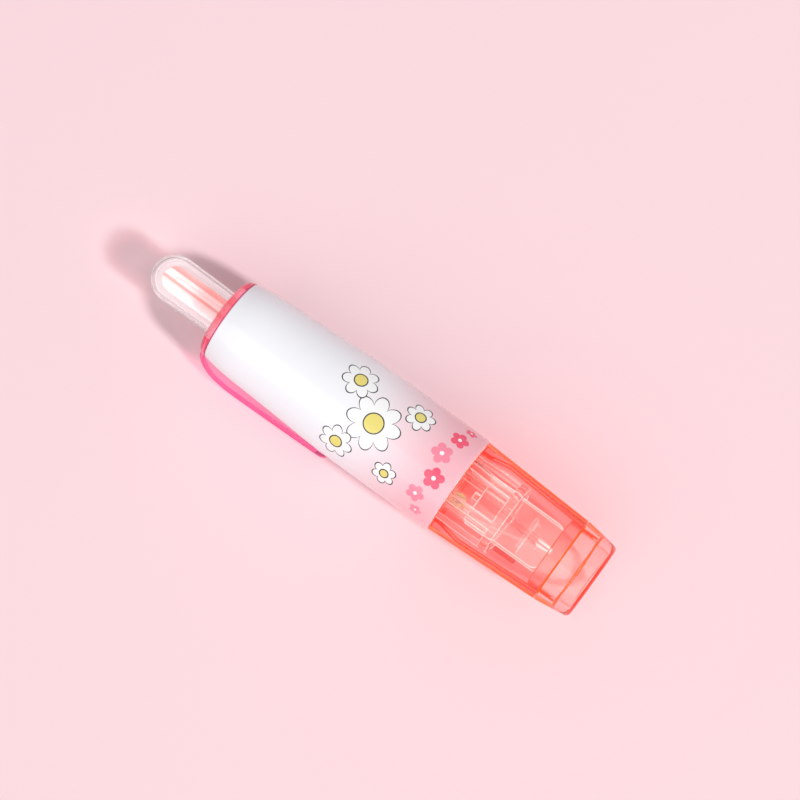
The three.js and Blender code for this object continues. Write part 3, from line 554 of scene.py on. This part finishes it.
# Faces in the second and third slot carry a moulding's painted glow, painted highlight or painted shade
def finishPiece(piece, body, material, nodes, crease=30, edges=()):
    mesh = piece.data
    mesh.shade_smooth()
    mesh.set_sharp_from_angle(angle=math.radians(crease))
    while len(mesh.materials) > 1 + len(edges):
        mesh.materials.pop(index=len(mesh.materials) - 1)
    for i, finish in enumerate((material, *edges)):
        mesh.materials[i] = finish
    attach(piece, body)
    if nodes:
        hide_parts(*nodes)
    return piece


# Printed sleeve

sleeve = {
    "rear": 10.3,
    "full": 12.5,
    "front": 12.3,
    "wall": 0.25,
    "lip": 0.12,
    "points": [(0, 10.3), (5.6, 11.1), (16, 11.6), (34.8, 12.5)],
    "ease": 5.7,
    "easeSteps": 6,
}
sleeveLine = [(pen["body"] + p.x, p.y) for p in smoothLine(sleeve["points"], 27)]
for step in range(1, sleeve["easeSteps"] + 1):
    share = step / sleeve["easeSteps"]
    drop = (sleeve["full"] - sleeve["front"]) * share ** 2
    sleeveLine.append((pen["nose"] - sleeve["ease"] * (1 - share), sleeve["full"] - drop))
bm = bmesh.new()
turned(bm, sleeveLine + [(x, r - sleeve["wall"]) for x, r in reversed(sleeveLine)], steps=160)
easeEdges(bm, sleeve["lip"], 2, 60)
finishPiece(makeObject(bm, "printed_sleeve"), "shell", filmPrint, ["label_sleeve"], 40)
print("sleeve made")

# The clip's own plane holds the pen's length and the height from its axis; leanTurn lays it beside the barrel
clip = {
    "lean": 41.978,
    "width": 6.8,
    "wall": 1.3,
    "foot": 8.3,
    "root": 14.1,
    "tip": 13.65,
    "length": 39.0,
    "edge": 0.42,
    "nub": 1.2,
    "nubReach": 0.35,
    "nubSetback": 3.0,
    "nubInset": 1,
    "play": 0.3,
    "tipRound": 2.4,
    "heelGap": 0.2,
    "rise": 0.9,
    "flat": 4,
    # how far past the foot and how far under the root the bend runs
    "bend": [(3.3, 1.05), (6.6, 0.3), (12, 0)],
}
leanTurn = Matrix.Rotation(math.pi + math.radians(clip["lean"]), 4, "X")

# Rear cap with its slots for the button and the clip

cap = {
    "face": 8.7, "rim": 10.3, "plug": 8.55, "plugLength": 6.0, "core": 1.0, "slotY": 5.85, "slotZ": 3.2,
    "edge": 0.18,
}
rimX = pen["body"] - pen["fit"]
frontX = pen["body"] + cap["plugLength"]
corner = []
for turn in quarterTurn:
    along = rimX - (rimX - pen["cap"]) * math.cos(turn)
    corner.append((along, cap["face"] + (cap["rim"] - cap["face"]) * math.sin(turn)))
bm = bmesh.new()
turned(bm, [
    *corner, (rimX, cap["plug"]), (frontX, cap["plug"]), (frontX, cap["core"]), (pen["cap"], cap["core"]),
], steps=128)
# Eased edges take the second slot: painted darker pink outlines
easeEdges(bm, cap["edge"], 2, 40, 1)
rearCap = makeObject(bm, "rear_cap_ring")
bm = bmesh.new()
slab(bm, pen["cap"] - 2 * cutPast, frontX + 2 * cutPast, -cap["slotY"], cap["slotY"],
     -cap["slotZ"], cap["slotZ"])
heel = bmesh.new()
slab(heel, pen["cap"] - cutPast, pen["cap"] + clip["wall"] + 2 * clip["play"],
     clip["foot"] - clip["wall"] / 2 - clip["play"], sleeve["full"],
     -clip["width"] / 2 - clip["play"], clip["width"] / 2 + clip["play"])
combine(rearCap, "DIFFERENCE", makeObject(bm, "slot_tool"), makeObject(heel, "heel_tool", onAxis @ leanTurn))
finishPiece(rearCap, "shell", magentaRing, ["rear_cap"], 30, [magentaEdge])

# Pocket clip, a bent strip turned down beside the barrel

footX = pen["cap"] + clip["wall"] / 2 + pen["fit"]
endX = pen["cap"] + clip["length"] - clip["wall"] / 2
route = smoothLine([
    (footX, clip["foot"]), (footX, cap["rim"] - clip["heelGap"]),
    (footX + clip["rise"], (2 * cap["rim"] + clip["root"]) / 3),
    *((footX + along, clip["root"] - under) for along, under in clip["bend"]),
    (endX - clip["flat"], clip["tip"]), (endX, clip["tip"]),
], 84)
bm = strip(route, -clip["width"] / 2, clip["width"] / 2)
for v in bm.verts:
    past = max(0.0, v.co.x - (endX - clip["tipRound"]))
    trim = clip["tipRound"] - math.sqrt(max(clip["tipRound"] ** 2 - past ** 2, 0))
    v.co.z *= 1 - trim / (clip["width"] / 2)
bmesh.ops.recalc_face_normals(bm, faces=bm.faces)
clipPiece = makeObject(bm, "pocket_clip_arm", onAxis @ leanTurn)
addWall(clipPiece, clip["wall"])
rounding = clipPiece.modifiers.new("rounding", "BEVEL")
rounding.width = clip["edge"] * 0.001
rounding.segments = 4
rounding.angle_limit = math.radians(40)
# Eased edges take the second slot: painted darker pink outlines
rounding.material = 1
settle(clipPiece)
nubRise = clip["tip"] - clip["wall"] / 2 - clip["nubReach"] + clip["nub"]
nubPlace = Matrix.Translation((endX - clip["nubSetback"], nubRise, 0))
bm = roundPin(clip["nub"], clip["width"] - clip["nubInset"], 32, nubPlace)
bmesh.ops.bisect_plane(bm, geom=everything(bm), plane_co=(0, clip["tip"], 0), plane_no=(0, 1, 0),
                       clear_outer=True)
bmesh.ops.holes_fill(bm, edges=bm.edges, sides=0)
combine(clipPiece, "UNION", makeObject(bm, "nub", onAxis @ leanTurn))
finishPiece(clipPiece, "clip", magentaPolystyrene, ["pocket_clip"], 35, [magentaEdge])
print("cap and clip made")

# Nose shell and mouth ring

nose = {
    "spigot": 10.55, "spigotLength": 5.0, "bore": 9.35, "rear": 12.2, "front": 10.9, "wall": 1.6, "rim": 2.0,
    "taper": 5.0, "edge": 0.2, "rimGlowShare": 0.9, "rimGlowStart": 0.1,
    "ringSpigot": 9.2, "ringSpigotLength": 3.6, "ringMiddle": 10.35, "ringStep": 4.4, "ringBore": 8.3,
    "mouth": 7.8, "face": 8.6, "easeLength": 1.5, "easeDrop": 0.45,
    "witness": 0.09, "witnessDrop": 0.02, "plainBand": 0.5, "endBand": 0.6,
}


def noseOutside(x):
    return nose["rear"] + (nose["front"] - nose["rear"]) * (x - pen["nose"]) / (pen["ring"] - pen["nose"])


# Mould lines outside and thin guide ribs inside: a painted orange glow shows them as orange lines
ribs = {
    "azimuths": (89, -75), "width": 0.6, "root": 0.4, "inside": 0.3, "endGap": 0.3, "ringGap": 0.2,
    "parting": (83, -69), "lineWidth": 1.0, "outside": 0.12,
    "seconds": (75, -61), "secondWidth": 0.9, "second": 0.04,
}
# Snap pads at the nose's rear corners stand a little out of the skin and carry a painted orange glow; on the
# ring the same glow is painted on flush patches
pads = {
    "azimuths": (79, -65), "snapWidth": 2.8, "snapStart": 0.1, "snapLength": 2.6, "snapProud": 0.05,
    "snapDrop": 0.1, "glowPatchWidth": 3.0,
}
# Stops for the cassette inside the nose, their dull brick red a painted shade: along, across and upright
stops = [(37.8, 43.4, -7.1, -5.3, -9.0, -6.4), (30.8, 33.0, -8.3, -6.9, -9.0, -5.0)]


# Bars along the pen, one at each azimuth, from the low to the high radius at their two ends
def lengthwiseRibs(name, azimuths, width, ends, lows, highs):
    made = []
    for azimuth in azimuths:
        bm = bmesh.new()
        corners = slab(bm, *ends, -width / 2, width / 2, 0, 1)
        for v in corners:
            end = 0 if v.co.x < sum(ends) / 2 else 1
            v.co.z = lows[end] + (highs[end] - lows[end]) * v.co.z
        # All faces take the second slot: the painted glow
        for face in bm.faces:
            face.material_index = 1
        turn = Matrix.Rotation(math.radians(azimuth), 3, "X")
        bmesh.ops.rotate(bm, cent=(0, 0, 0), matrix=turn, verts=corners)
        made.append(makeObject(bm, name))
    return made


rear = pen["nose"] + pen["fit"]
front = pen["ring"] - pen["fit"]
bm = bmesh.new()
turned(bm, [
    (pen["nose"] - nose["spigotLength"], nose["spigot"]), (rear, nose["spigot"]),
    (rear, noseOutside(rear)), (front, noseOutside(front)), (front, noseOutside(front) - nose["wall"]),
    (rear + nose["rim"] + nose["taper"], noseOutside(rear + nose["rim"]) - nose["wall"]),
    (rear + nose["rim"], nose["bore"]), (pen["nose"] - nose["spigotLength"], nose["bore"]),
], steps=160)
# Eased edges and the rim's sides take the second slot: a painted orange glow
easeEdges(bm, nose["edge"], 3, 28, 1)
for face in bm.faces:
    middle = face.calc_center_median()
    radius = math.hypot(middle.y, middle.z)
    inRim = rear + nose["rimGlowStart"] < middle.x < rear + nose["rim"]
    if inRim and abs(middle.y) > radius * nose["rimGlowShare"]:
        face.material_index = 1
coneEnds = (rear + ribs["endGap"], front - ribs["endGap"])
bores = [noseOutside(x) - nose["wall"] for x in coneEnds]
skins = [noseOutside(x) for x in coneEnds]
roots = [skin - ribs["root"] for skin in skins]
snapTop = skins[0] + pads["snapProud"]
lines = [
    *lengthwiseRibs("glowing_guide_rib", ribs["azimuths"], ribs["width"], coneEnds,
                    [bore - ribs["inside"] for bore in bores], [bore + ribs["root"] for bore in bores]),
    *lengthwiseRibs("glowing_mould_line", ribs["parting"], ribs["lineWidth"], coneEnds,
                    roots, [skin + ribs["outside"] for skin in skins]),
    *lengthwiseRibs("glowing_mould_line", ribs["seconds"], ribs["secondWidth"], coneEnds,
                    roots, [skin + ribs["second"] for skin in skins]),
    *lengthwiseRibs("glowing_snap_pad", pads["azimuths"], pads["snapWidth"],
                    (rear + pads["snapStart"], rear + pads["snapLength"]),
                    (roots[0], roots[0]), (snapTop, snapTop - pads["snapDrop"])),
]
for extent in stops:
    block = bmesh.new()
    slab(block, *extent)
    # The stops take the third slot: the painted brick red shade
    for face in block.faces:
        face.material_index = 2
    lines.append(makeObject(block, "cassette_stop_painted_shade"))
nosePiece = combine(makeObject(bm, "nose_cone"), "UNION", *lines)
finishPiece(nosePiece, "nose", coralPolystyrene, ["nose_shell"], 30,
            [coralEdge, stopShade])

middle = pen["mouth"] - nose["ringStep"]
spigotX = pen["ring"] - nose["ringSpigotLength"]
mouthCorner = []
for turn in quarterTurn:
    along = pen["mouth"] - nose["easeLength"] * (1 - math.sin(turn))
    height = (nose["ringMiddle"] - nose["easeDrop"] - nose["face"]) * math.cos(turn)
    mouthCorner.append((along, nose["face"] + height))
bm = bmesh.new()
turned(bm, [
    (spigotX, nose["ringSpigot"]), (pen["ring"], nose["ringSpigot"]), (pen["ring"], nose["front"]),
    (middle - nose["witness"], nose["ringMiddle"]),
    (middle + nose["witness"], nose["ringMiddle"] - nose["witnessDrop"]),
    *mouthCorner, (pen["mouth"], nose["mouth"]), (middle, nose["mouth"]),
    (middle, nose["ringBore"]), (spigotX, nose["ringBore"]),
], steps=160)
# The end band takes the painted deep red; the middle step and the eased edges behind it take the painted
# orange glow, those further forward go back to plain plastic
easeEdges(bm, nose["edge"], 3, 28, 1)
for face in bm.faces:
    centre = face.calc_center_median()
    if centre.x > pen["mouth"] - nose["endBand"]:
        face.material_index = 2
    elif abs(centre.x - middle) < nose["witness"] and math.hypot(centre.y, centre.z) > nose["ringSpigot"]:
        face.material_index = 1
    elif centre.x > middle + nose["plainBand"] and face.material_index == 1:
        face.material_index = 0
ringEnds = (pen["ring"] + ribs["endGap"], middle - ribs["ringGap"])
ringSkins = (nose["front"], nose["ringMiddle"])
ringRoots = [skin - ribs["root"] for skin in ringSkins]
lines = [
    *lengthwiseRibs("glowing_mould_line", ribs["parting"], ribs["lineWidth"], ringEnds,
                    ringRoots, (ringSkins[0] + ribs["outside"] / 2, ringSkins[1] + ribs["outside"])),
    *lengthwiseRibs("flush_glow_patch", pads["azimuths"], pads["glowPatchWidth"], ringEnds, ringRoots, ringSkins),
]
ringPiece = combine(makeObject(bm, "mouth_ring"), "UNION", *lines)
finishPiece(ringPiece, "nose", paleCoralPolystyrene, ["nose_tip"], 30,
            [coralEdge, deepEdge])
print("nose made")

# Clear guide inside the nose: seat, six rails and a collar

guide = {
    "seatX": 13.5, "seatEnd": 19.6, "seat": 10.55, "rimWall": 1.0, "discWall": 2.2, "core": 1.0, "edge": 0.15,
    "outer": 9.05, "inner": 7.51, "collarX": 36.0, "collarLength": 2.3,
    "railAngle": 16, "railEnd": 37.15, "lateRail": 20.1,
    "windowY": 8.6, "windowZ": 4.3, "notchY": 4.11, "notchZ": 5.3,
    "tabX": 6.9, "tabHalf": 2.6, "tabTop": 7.7, "tabWall": 1.2,
    "pivotX": 9.5, "pivotHole": 0.8, "pivotDepth": 3, "rodHole": 0.9, "rodDepth": 6, "rodDrop": 7.0,
}
discEnd = guide["seatX"] + guide["discWall"]
discMiddle = guide["seatX"] + guide["discWall"] / 2
bm = bmesh.new()
turned(bm, [
    (guide["seatX"], guide["seat"]), (guide["seatEnd"], guide["seat"]),
    (guide["seatEnd"], guide["seat"] - guide["rimWall"]), (discEnd, guide["seat"] - guide["rimWall"]),
    (discEnd, guide["core"]), (guide["seatX"], guide["core"]),
], steps=96)
# Eased edges take the second slot: a painted warm white glow
easeEdges(bm, guide["edge"], 2, 28, 1)
seatPiece = makeObject(bm, "clear_guide")
bm = bmesh.new()
turned(bm, [
    (guide["collarX"], guide["outer"]), (guide["collarX"] + guide["collarLength"], guide["outer"]),
    (guide["collarX"] + guide["collarLength"], guide["inner"]), (guide["collarX"], guide["inner"]),
], steps=96)
easeEdges(bm, guide["edge"], 2, 28, 1)
parts = [makeObject(bm, "collar")]
for i in range(6):
    start = guide["lateRail"] if i % 3 == 0 else discMiddle
    bm = bmesh.new()
    low = bm.verts.new((start, 0, guide["inner"]))
    high = bm.verts.new((start, 0, guide["outer"]))
    edge = bm.edges.new((low, high))
    middleTurn = math.radians(60 * i - 90 - guide["railAngle"] / 2)
    bmesh.ops.rotate(bm, cent=(0, 0, 0), matrix=Matrix.Rotation(middleTurn, 3, "X"), verts=[low, high])
    bmesh.ops.spin(bm, geom=[low, high, edge], cent=(0, 0, 0), axis=(1, 0, 0),
                   angle=math.radians(guide["railAngle"]), steps=4)
    grown = bmesh.ops.extrude_face_region(bm, geom=list(bm.faces))["geom"]
    bmesh.ops.translate(bm, vec=(guide["railEnd"] - start, 0, 0), verts=vertsOf(grown))
    bmesh.ops.recalc_face_normals(bm, faces=bm.faces)
    easeEdges(bm, guide["edge"], 2, 28, 1)
    parts.append(makeObject(bm, "rail"))
bm = bmesh.new()
slab(bm, guide["tabX"], discMiddle, -guide["tabHalf"], guide["tabHalf"],
     guide["tabTop"] - guide["tabWall"], guide["tabTop"])
easeEdges(bm, guide["edge"], 2, 28, 1)
parts.append(makeObject(bm, "latch_tab"))
combine(seatPiece, "UNION", *parts)
bm = bmesh.new()
slab(bm, guide["seatX"] - cutPast, discEnd + cutPast, -guide["windowY"], guide["windowY"],
     -guide["windowZ"], guide["windowZ"])
notch = bmesh.new()
slab(notch, guide["seatX"] - cutPast, discEnd + cutPast, -guide["notchY"], guide["notchY"],
     0, guide["notchZ"])
pivotPlace = Matrix.Translation((guide["pivotX"], 0, guide["tabTop"] - guide["tabWall"] / 2))
pivot = roundPin(guide["pivotHole"], guide["pivotDepth"], 24, pivotPlace)
lengthwise = Matrix.Rotation(math.pi / 2, 4, "Y")
rodPlace = Matrix.Translation((guide["seatX"], 0, -guide["rodDrop"])) @ lengthwise
rodHole = roundPin(guide["rodHole"], guide["rodDepth"], 24, rodPlace)
combine(seatPiece, "DIFFERENCE", makeObject(bm, "window_tool"), makeObject(notch, "notch_tool"),
        makeObject(pivot, "pivot_tool"), makeObject(rodHole, "rod_tool"))
finishPiece(seatPiece, "shell", hazyStyrene, ["front_guide"], 30, [clearEdge])
print("guide made")

# Applicator head: two rounded cheeks, ribs and the blade that the tape goes round

head = {
    "rear": 30.1, "front": 50.1, "half": 6.0, "corner": 2.2, "outer": 3.9, "inner": 2.7, "edge": 0.25,
    "ribX": 43.0, "ribLength": 0.8, "ribHalf": 4.0, "ribProud": 0.4,
    "ribRoot": 0.1, "ribEdge": 0.12,
    "bladeRear": 28.6, "bladeFront": 50.6, "bladeHalf": 1.0, "bladeRise": 2.9, "bladeThin": 0.35,
    "bladeEdge": 0.2, "tipX": 45.8,
}


# A plate with two round corners: at its front end, or at its rear end where the radius is negative
def roundedPlate(x0, x1, half, cornerRadius, z0, z1, edge, segments=10):
    bm = bmesh.new()
    bmesh.ops.create_grid(bm, x_segments=1, y_segments=1, size=0.5)
    bmesh.ops.scale(bm, vec=(x1 - x0, 2 * half, 1), verts=bm.verts)
    bmesh.ops.translate(bm, vec=((x0 + x1) / 2, 0, z0), verts=bm.verts)
    ends = [v for v in bm.verts if (v.co.x > (x0 + x1) / 2) == (cornerRadius > 0)]
    bmesh.ops.bevel(bm, geom=ends, offset=abs(cornerRadius), offset_type="OFFSET", segments=segments,
                    profile=0.5, affect="VERTICES", clamp_overlap=False, material=-1)
    grown = bmesh.ops.extrude_face_region(bm, geom=list(bm.faces))["geom"]
    bmesh.ops.translate(bm, vec=(0, 0, z1 - z0), verts=vertsOf(grown))
    bmesh.ops.recalc_face_normals(bm, faces=bm.faces)
    if edge:
        easeEdges(bm, edge, 3, 40, 1)
    return bm


def cheek(low, high, name):
    plate = roundedPlate(head["rear"], head["front"], head["half"], head["corner"], low, high, head["edge"])
    return makeObject(plate, name)


headPiece = cheek(head["inner"], head["outer"], "applicator_head_clear")
lower = cheek(-head["outer"], -head["inner"], "lower_cheek")
bm = bmesh.new()
slab(bm, head["bladeRear"], head["bladeFront"], -head["bladeHalf"], head["bladeHalf"],
     -head["bladeRise"], head["bladeRise"])
for v in bm.verts:
    if v.co.x > head["bladeRear"] + 1:
        v.co.y *= head["bladeThin"]
easeEdges(bm, head["bladeEdge"], 3, 40, 1)
bmesh.ops.bisect_plane(bm, geom=everything(bm), plane_co=(head["tipX"], 0, 0), plane_no=(1, 0, 0))
# The blade's tip takes the third slot, a painted white highlight; eased edges of cheeks, blade and ribs take
# the painted white glow
for face in bm.faces:
    if face.calc_center_median().x > head["tipX"]:
        face.material_index = 2
cheekRibs = []
for side in (-1, 1):
    rib = bmesh.new()
    near, far = head["inner"] + head["ribRoot"], head["outer"] + head["ribProud"]
    slab(rib, head["ribX"], head["ribX"] + head["ribLength"], -head["ribHalf"], head["ribHalf"],
         *sorted((side * near, side * far)))
    easeEdges(rib, head["ribEdge"], 2, 40, 1)
    cheekRibs.append(makeObject(rib, "rib"))
combine(headPiece, "UNION", lower, makeObject(bm, "blade"), *cheekRibs)
finishPiece(headPiece, "cassette", hazyStyrene, ["applicator_head"], 30,
            [clearEdge, tipHighlight])
print("head made")

# Running tape: one thin ribbon from the supply coil round the post, the blade and the roller to the
# take-up coil
film = {
    "thickness": 0.04,
    "lift": 0.22,
    "bottom": -1.6,
    "top": 2.6,
    "bend": 0.3,
    # along, across, and the radius, whose sign is the way that the ribbon turns there
    "stops": [
        (-20.5, 0.0, -7.2), (7.0, 3.9, -0.8), (50.25, 0.0, -0.35), (26.6, -3.0, -1.7), (-5.5, 0.0, 4.2),
    ],
}


def filmRoute():
    stops = [(x, y, radius + math.copysign(film["lift"], radius)) for x, y, radius in film["stops"]]
    points = []
    arrival = None
    for i, (x, y, turn) in enumerate(stops):
        leaving = None
        if i + 1 < len(stops):
            x1, y1, turn1 = stops[i + 1]
            leaving = math.atan2(y1 - y, x1 - x) - math.asin((turn1 - turn) / math.hypot(x1 - x, y1 - y))
        start = leaving if arrival is None else arrival
        stop = arrival if leaving is None else leaving
        while turn > 0 and stop < start:
            stop += math.tau
        while turn < 0 and stop > start:
            stop -= math.tau
        rounds = arrival is not None and leaving is not None
        steps = max(1, math.ceil(abs(stop - start) / film["bend"])) if rounds else 0
        for k in range(steps + 1):
            heading = start + (stop - start) * k / max(steps, 1)
            points.append((x + turn * math.sin(heading), y - turn * math.cos(heading)))
        arrival = leaving
    return points


bm = strip(filmRoute(), film["bottom"], film["top"])
bmesh.ops.recalc_face_normals(bm, faces=bm.faces)
filmPiece = makeObject(bm, "running_tape_film")
addWall(filmPiece, film["thickness"])
settle(filmPiece)
finishPiece(filmPiece, "cassette", runningFilm, ["tape_run"], 50)
print("tape made")

# Push button: a clear hollow paddle, and the rod inside it

button = {
    "front": -32.7, "half": 5.65, "rootHalf": 5.35, "thick": 5.8, "wall": 0.95, "edge": 0.8,
    "innerEdge": 0.35, "flangeX": -34.4, "flangeWall": 1.3, "flangeProud": 1.0,
}


# A plate with a round tail, eased rims and a front end of its own width
def paddle(x0, x1, half, rootHalf, thick, edge):
    near = 0.01
    sharp = 1.0
    bm = roundedPlate(x0, x1, half, -half * 0.999, -thick / 2, thick / 2, 0, 28)
    for v in bm.verts:
        if v.co.x > x1 - near:
            v.co.y *= rootHalf / half
    bm.normal_update()
    rims = []
    for e in bm.edges:
        a, b = e.verts[0].co, e.verts[1].co
        atFront = a.x > x1 - near and b.x > x1 - near
        if e.calc_face_angle(0) > sharp and abs(a.z - b.z) < near and not atFront:
            rims.append(e)
    bmesh.ops.bevel(bm, geom=rims, offset=edge, offset_type="OFFSET", segments=5, profile=0.5,
                    affect="EDGES", clamp_overlap=True, material=-1)
    return bm


buttonPiece = makeObject(paddle(pen["tail"], button["front"], button["half"], button["rootHalf"],
                                button["thick"], button["edge"]), "push_button_clear")
flangeY = button["rootHalf"] + button["flangeProud"]
flangeZ = button["thick"] / 2 + button["flangeProud"]
bm = bmesh.new()
slab(bm, button["flangeX"], button["flangeX"] + button["flangeWall"], -flangeY, flangeY, -flangeZ, flangeZ)
combine(buttonPiece, "UNION", makeObject(bm, "flange"))
hollow = makeObject(paddle(pen["tail"] + button["wall"], button["front"] + cutPast,
                           button["half"] - button["wall"], button["rootHalf"] - button["wall"],
                           button["thick"] - 2 * button["wall"], button["innerEdge"]), "hollow")
combine(buttonPiece, "DIFFERENCE", hollow)
finishPiece(buttonPiece, "cassette", clearStyrene, ["push_button"], 40)

rod = {"tail": -59.95, "front": -30.6, "half": 3.1, "thick": 3.0, "edge": 0.3, "groove": 0.8, "depth": 0.5}
rodPiece = makeObject(paddle(rod["tail"], rod["front"], rod["half"], rod["half"], rod["thick"], rod["edge"]),
                      "plunger_rod_moulded")
bm = bmesh.new()
for side in (-1, 1):
    upright = sorted((side * (rod["thick"] / 2 - rod["depth"]), side * rod["thick"]))
    slab(bm, rod["tail"] + rod["half"], rod["front"] + cutPast, -rod["groove"], rod["groove"], *upright)
combine(rodPiece, "DIFFERENCE", makeObject(bm, "groove_tool"))
finishPiece(rodPiece, "cassette", rodMaterial, ["plunger_rod"], 40)
print("button made")

# Return spring, one helix of wire

spring = {
    "rear": -17.475, "front": 13.075, "drop": 7.0, "coil": 1.9, "wire": 0.225, "turns": 13, "steps": 24,
    "fixed": 13.2, "closed": 0.48,
}
springSteps = spring["turns"] * spring["steps"]
bm = bmesh.new()
made = bmesh.ops.create_circle(bm, cap_ends=True, segments=10, radius=spring["wire"])["verts"]
bmesh.ops.rotate(bm, cent=(0, 0, 0), matrix=Matrix.Rotation(math.pi / 2, 3, "X"), verts=made)
bmesh.ops.translate(bm, vec=(spring["rear"], 0, spring["coil"]), verts=made)
bmesh.ops.spin(bm, geom=everything(bm), cent=(0, 0, 0), axis=(1, 0, 0), angle=math.tau * spring["turns"],
               steps=springSteps, dvec=((spring["front"] - spring["rear"]) / springSteps, 0, 0))
bmesh.ops.translate(bm, vec=(0, 0, -spring["drop"]), verts=bm.verts)
bmesh.ops.recalc_face_normals(bm, faces=bm.faces)
springPiece = makeObject(bm, "return_spring_coil")
finishPiece(springPiece, "shell", drawnSteel, ["return_spring"], 50)
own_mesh(springPiece)
print("spring made")

# The CAD solids that stay get the finish of their kind

kept = {
    "barrel_tube": whiteAbs,
    "spring_rod": drawnSteel,
    "latch_pin": drawnSteel,
    "cassette_base": hazyStyrene,
    "cassette_cover": hazyStyrene,
    "roller_pin": drawnSteel,
    "supply_reel": whiteAbs,
    "supply_tape": coatedFilm,
    "take_up_gear": whiteAbs,
    "clutch_spring": drawnSteel,
    "take_up_reel": coralPolypropylene,
    "used_tape": usedGlassine,
    "guide_roller": oliveAbs,
    "latch_arm": whiteAbs,
}
for node, material in kept.items():
    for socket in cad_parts[node].material_slots:
        socket.material = material
print("kept solids dressed")

# Table, lamps and camera

table = {"colour": "#fcdde1", "shade": "#fad9de", "size": 1.6, "level": -0.11}
material, tree, spot = newMaterial("pink_card_matte")
cloud = addNode(tree, "ShaderNodeTexNoise", {"Scale": 6.0, "Detail": 2.0}, {"Vector": spot})
fibre = addNode(tree, "ShaderNodeTexNoise", {"Scale": 1500.0, "Detail": 3.0}, {"Vector": spot})
colour = addNode(tree, "ShaderNodeMix", {
    "data_type": "RGBA", 6: linear(table["shade"]), 7: linear(table["colour"]),
}, {0: cloud})
bump = addNode(tree, "ShaderNodeBump", {"Strength": 0.05, "Distance": 0.0001}, {"Height": fibre})
card = addNode(tree, "ShaderNodeBsdfPrincipled", {"Roughness": 0.8, "Specular IOR Level": 0.2},
               {"Base Color": colour.outputs[2], "Normal": bump})
addNode(tree, "ShaderNodeOutputMaterial", None, {"Surface": card})
bm = bmesh.new()
bmesh.ops.create_grid(bm, x_segments=1, y_segments=1, size=table["size"] / 2)
floor = makeObject(bm, "table_top", Matrix.Translation((0, 0, table["level"] * 0.001)))
floor.data.materials.clear()
floor.data.materials.append(material)

lamps = {
    "key": {"from": (13.0, -0.5, 12.4), "distance": 6.0, "size": 0.6, "power": 230.0},
    "side": {"from": (-0.2, -1.0, 1.1), "distance": 6.0, "size": 6.0, "power": 134.0},
}
for name, lamp in lamps.items():
    data = bpy.data.lights.new(name, "AREA")
    data.shape = "SQUARE"
    data.size = lamp["size"]
    data.energy = lamp["power"]
    light = bpy.data.objects.new(name, data)
    direction = Vector(lamp["from"]).normalized()
    light.location = direction * lamp["distance"]
    light.rotation_euler = direction.to_track_quat("Z", "Y").to_euler()
    bpy.context.scene.collection.objects.link(light)

# The studio's white walls: dim as a light, white where the plastic and the gloss mirror them
studio = {"walls": "#fefcff", "light": 0.355, "seen": 0.9}
world = bpy.data.worlds.new("studio")
world.use_nodes = True
tree = world.node_tree
tree.nodes.clear()
rays = addNode(tree, "ShaderNodeLightPath")
mirrored = addNode(tree, "ShaderNodeMath", {"operation": "MAXIMUM"}, {
    0: rays.outputs["Is Glossy Ray"], 1: rays.outputs["Is Transmission Ray"],
})
shown = addNode(tree, "ShaderNodeMath", {"operation": "MAXIMUM"}, {
    0: mirrored, 1: rays.outputs["Is Camera Ray"],
})
strength = addNode(tree, "ShaderNodeMapRange", {
    "To Min": studio["light"], "To Max": studio["seen"],
}, {"Value": shown})
walls = addNode(tree, "ShaderNodeBackground", {"Color": linear(studio["walls"])}, {"Strength": strength})
addNode(tree, "ShaderNodeOutputWorld", None, {"Surface": walls})
bpy.context.scene.world = world

# Fitted to the silhouettes and rings in the photograph: millimetres, radians and a focal length in its pixels
view = {
    "location": (66.85, -82.0, 655.86), "target": (1.888, 8.559, 12.393), "roll": 0.633,
    "focal": 2825.4, "frame": 800, "sensor": 36, "far": 10,
}
forward = (Vector(view["target"]) - Vector(view["location"])).normalized()
across = Vector((math.cos(view["roll"]), math.sin(view["roll"]), 0))
across = (across - forward * across.dot(forward)).normalized()
down = forward.cross(across)
data = bpy.data.cameras.new("camera")
data.sensor_width = view["sensor"]
data.lens = view["focal"] / view["frame"] * view["sensor"]
data.clip_end = view["far"]
camera = bpy.data.objects.new("camera", data)
turnMatrix = Matrix((across, -down, -forward)).transposed()
camera.matrix_world = Matrix.Translation(Vector(view["location"]) * 0.001) @ turnMatrix.to_4x4()
bpy.context.scene.collection.objects.link(camera)
bpy.context.scene.camera = camera

scene = bpy.context.scene
scene.view_settings.view_transform = "Standard"
# Bounce limits, set high for the clear walls that stand one behind another
bounces = 32
scene.cycles.max_bounces = bounces
scene.cycles.transmission_bounces = bounces
scene.cycles.transparent_max_bounces = bounces
print("stage set")

bpy.context.view_layer.update()
